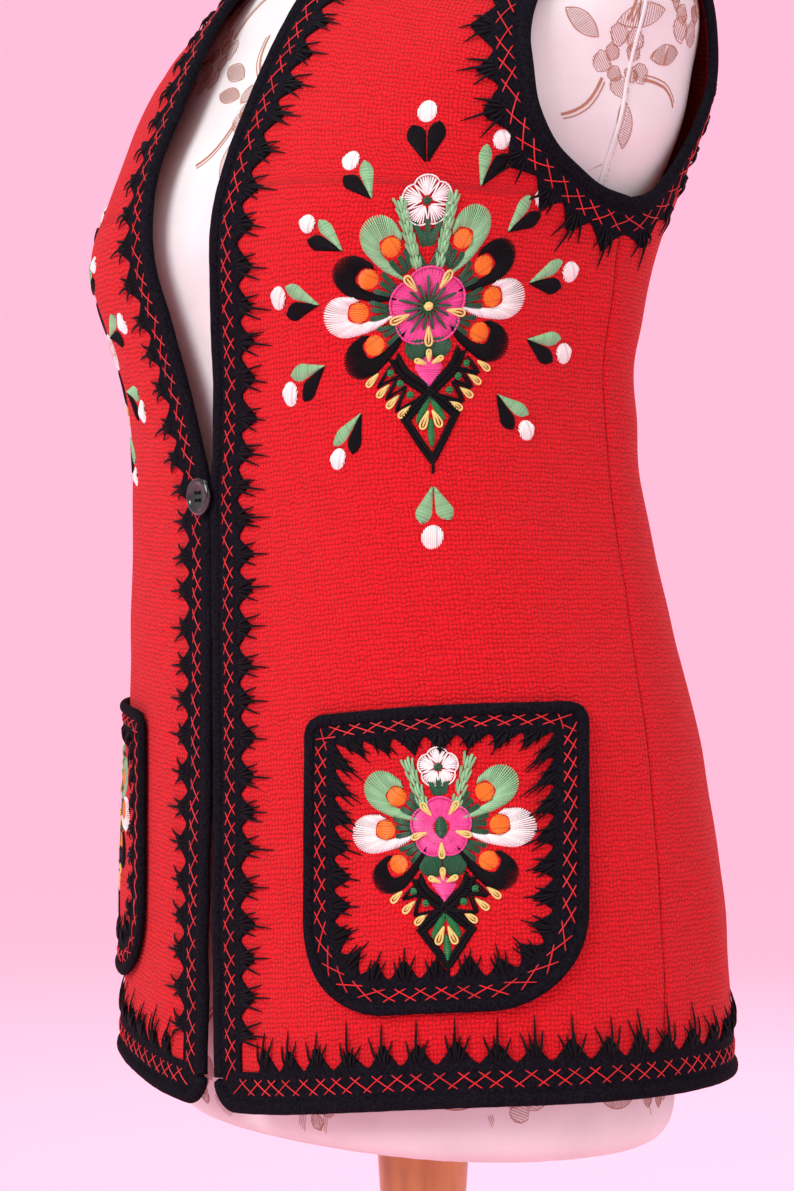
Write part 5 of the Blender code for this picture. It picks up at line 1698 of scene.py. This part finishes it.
def form_print(cover):
    """The cover's print: hatched blossoms and leaves on branches, laid flat on the form."""
    fine, bold = [], []
    for row, around, size in PRINT_SPOTS:
        spin = dice.uniform(0, 2 * math.pi)
        groups = [(blossom_lines(19.0 * size), 0.0, 0.0)]
        groups += [(leaf_lines(27.0 * size), bend, 21.0 * size) for bend in (0.7, 2.9, 4.6)]
        for (outlines, hatches), bend, away in groups:
            shift = np.array([away, 0.0])
            bold += [(line, 0.20, row, around) for line in turned(np.array(outlines) + shift, bend + spin)]
            fine += [(line, 0.15, row, around) for line in turned(np.array(hatches) + shift, bend + spin)]
        for bend in (1.9, 3.9):
            branch = np.stack([15 + 34 * size * OUTLINE, 6 * np.sin(2.6 * OUTLINE)], -1)
            for line, width in ((branch, 0.8), (branch + (0, 2.6), 0.35)):
                bold.append((turned(line, bend + spin), width, row, around))
    points, faces, count = [], [], 0
    for group in (fine, bold):
        lines = np.array([line for line, width, row, around in group])
        rest = np.array([(width, row, around) for line, width, row, around in group])
        made, quads = print_strips(lines, rest[:, 0], rest[:, 1:])
        points.append(made)
        faces.append(quads + count)
        count += len(made)
    strips = helper("print_strips", np.concatenate(points), faces)
    lay = strips.modifiers.new("lay", "SHRINKWRAP")
    lay.target, lay.offset = cover, 0.00020
    lay.wrap_method, lay.wrap_mode = "NEAREST_SURFACEPOINT", "ABOVE_SURFACE"
    thin = strips.modifiers.new("thin", "SOLIDIFY")
    thin.thickness, thin.offset = 0.00014, -1
    mesh = as_mesh(strips, "form_print")
    bpy.data.objects.remove(strips, do_unlink=True)
    return finished("form_print", mesh, [PRINT], [], 30.0)


def turned_piece(node, profile, turns):
    """A piece of turned wood that stands for a node."""
    points, faces = lathe(profile, turns)
    made = add_mesh(node + "_turned", points, faces, WOOD, sharp=40.0)
    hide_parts(node)


def stand():
    floor, top = 0.0243, FORM_BOTTOM - 0.0003
    curve = even_curve([(0.0215, top - 0.045), (0.0205, top - 0.10), (0.0205, floor + 0.07),
                        (0.0235, floor + 0.035), (0.0305, floor + 0.012), (0.0332, floor + 0.003)], 70)
    turned_piece("stand_post", [
        (0, top), (0.012, top), (0.0230, top), (0.0237, top - 0.0003), (0.0240, top - 0.001),
        (0.0238, top - 0.008), *curve, (0.0325, floor + 0.0002), (0.02, floor), (0, floor)], 64)
    bend = [(0.153 + 0.007 * math.cos(a), 0.009 + 0.007 * math.sin(a))
            for a in np.radians(np.linspace(60, 0, 9))]
    groove = [(0.118 + 0.0022 * x, 0.0228 - 0.0011 * (1 - x * x)) for x in np.linspace(-1, 1, 9)]
    turned_piece("stand_base", rounded([
        (0, 0.024), (0.0992, 0.024), *groove, (0.153, 0.0200), *bend, (0.160, 0.007), (0.1592, 0.001),
        (0.158, 0), (0, 0)], 0.004), 80)


# All the pieces

def dress():
    """The vest's pieces."""
    hem, neck, front, hole = (PATHS[word] for word in ("hem", "neck", "front", "armhole"))
    out = FELT_OUT + FELT_WALL
    back = back_panel()
    for side, word in ((1, "left"), (-1, "right")):
        panel = front_panel(side, "vest_front_" + word)
        front_felt, teeth = felt_band("felt_front_" + word, front, side, (False, True))
        last = front.length - HEM_CORNER_RADIUS - 0.0004
        edge = edge_roll("binding_front_" + word, front, ROLL_END, last, side)
        ground = BandGround(front, out, side)
        band_sewing("sewing_front_" + word, ground, teeth, 4.0, front.length * 1000 - 14)
        hole_felt, teeth = felt_band("felt_armhole_" + word, hole, side)
        edge = edge_roll("binding_armhole_" + word, hole, 0.0, hole.length, side)
        ground = BandGround(hole, out, side)
        band_sewing("sewing_armhole_" + word, ground, teeth, 0.0, hole.length * 1000, True)
        pocket_pieces(side, word)
        motif("embroidery_chest_" + word, spread(0.3960, 53.75, 8.0, 2.5, 0.0, side), True)
    hem_felt, teeth = felt_band("felt_hem", hem, 1, (True, True))
    edge = hem_roll()
    band_sewing("sewing_hem", BandGround(hem, out, 1), teeth, 14.0, hem.length * 1000 - 14)
    neck_felt, teeth = felt_band("felt_neck_back", neck, 1)
    edge = edge_roll("binding_neck_back", neck, ROLL_END, neck.length - ROLL_END, 1)
    band_sewing("sewing_neck_back", BandGround(neck, out, 1), teeth, 4.0, neck.length * 1000 - 4)


# Degrees from the front to the camera, and each lamp: degrees on from there, distance, height, size and power
VIEW_TURN = 50.5
LAMPS = (("key", -42, 2.3, 1.7, 1.3, 52), ("fill", 50, 2.6, 1.2, 2.0, 18), ("top", 10, 0.7, 2.7, 1.6, 15),
         ("back", 160, 2.0, 1.8, 1.5, 20))
LAMP_TARGET = (0, 0, 0.55)
WALL_AWAY = 6.0
WALL_BEND = 2.0
WALL_HEIGHT = 9.0
FLOOR_HALF = 12.0


def studio():
    """A pale seamless floor and backdrop, soft lights and the camera."""
    angle = math.radians(VIEW_TURN)
    toward = np.array([math.sin(angle), -math.cos(angle), 0.0])
    right = np.array([math.cos(angle), math.sin(angle), 0.0])
    bend = [(WALL_AWAY + WALL_BEND * math.sin(a), WALL_BEND - WALL_BEND * math.cos(a))
            for a in np.radians(np.linspace(0, 90, 17))]
    profile = np.array([(-FLOOR_HALF, 0.0), *bend, (WALL_AWAY + WALL_BEND, WALL_HEIGHT)])
    wide = np.array([-FLOOR_HALF, FLOOR_HALF])
    spots = -profile[:, None, :1] * toward + wide[None, :, None] * right
    spots = spots + profile[:, None, 1:] * np.array([0, 0, 1.0])
    i, j = quad_grid(len(profile), 2)
    floor = helper("studio_floor", spots.reshape(-1, 3), [i * 2 + j])
    paper, _, shader = finish("pale_paper", (0.74, 0.38, 0.48), 0.9, gloss=0.1)
    shader.inputs["Emission Color"].default_value = (1.0, 0.51, 0.68, 1)
    shader.inputs["Emission Strength"].default_value = 0.60
    floor.data.materials.append(paper)
    floor.data.shade_smooth()
    for name, turn, away, height, size, power in LAMPS:
        lamp = bpy.data.lights.new(name, "AREA")
        lamp.size, lamp.energy = size, power
        made = placed(name, lamp)
        q = math.radians(VIEW_TURN + turn)
        made.location = (away * math.sin(q), -away * math.cos(q), height)
        made.rotation_euler = (Vector(LAMP_TARGET) - made.location).to_track_quat("-Z", "Y").to_euler()
    world = bpy.data.worlds.new("soft_room")
    world.use_nodes = True
    world.node_tree.nodes["Background"].inputs[0].default_value = (1.0, 0.97, 0.97, 1)
    world.node_tree.nodes["Background"].inputs[1].default_value = 0.52
    bpy.context.scene.world = world
    bpy.context.scene.view_settings.view_transform = "Standard"
    lens = bpy.data.cameras.new("camera")
    lens.lens = 84.9
    lens.sensor_width = 36
    lens.shift_x, lens.shift_y = -0.0218, 0.0458
    eye = placed("camera", lens)
    eye.location = (1.111, -0.916, 0.504)
    eye.rotation_euler = (math.radians(90), 0, angle)
    bpy.context.scene.camera = eye


form_print(form_cover())
form_seams()
dress()
button()
stand()
studio()
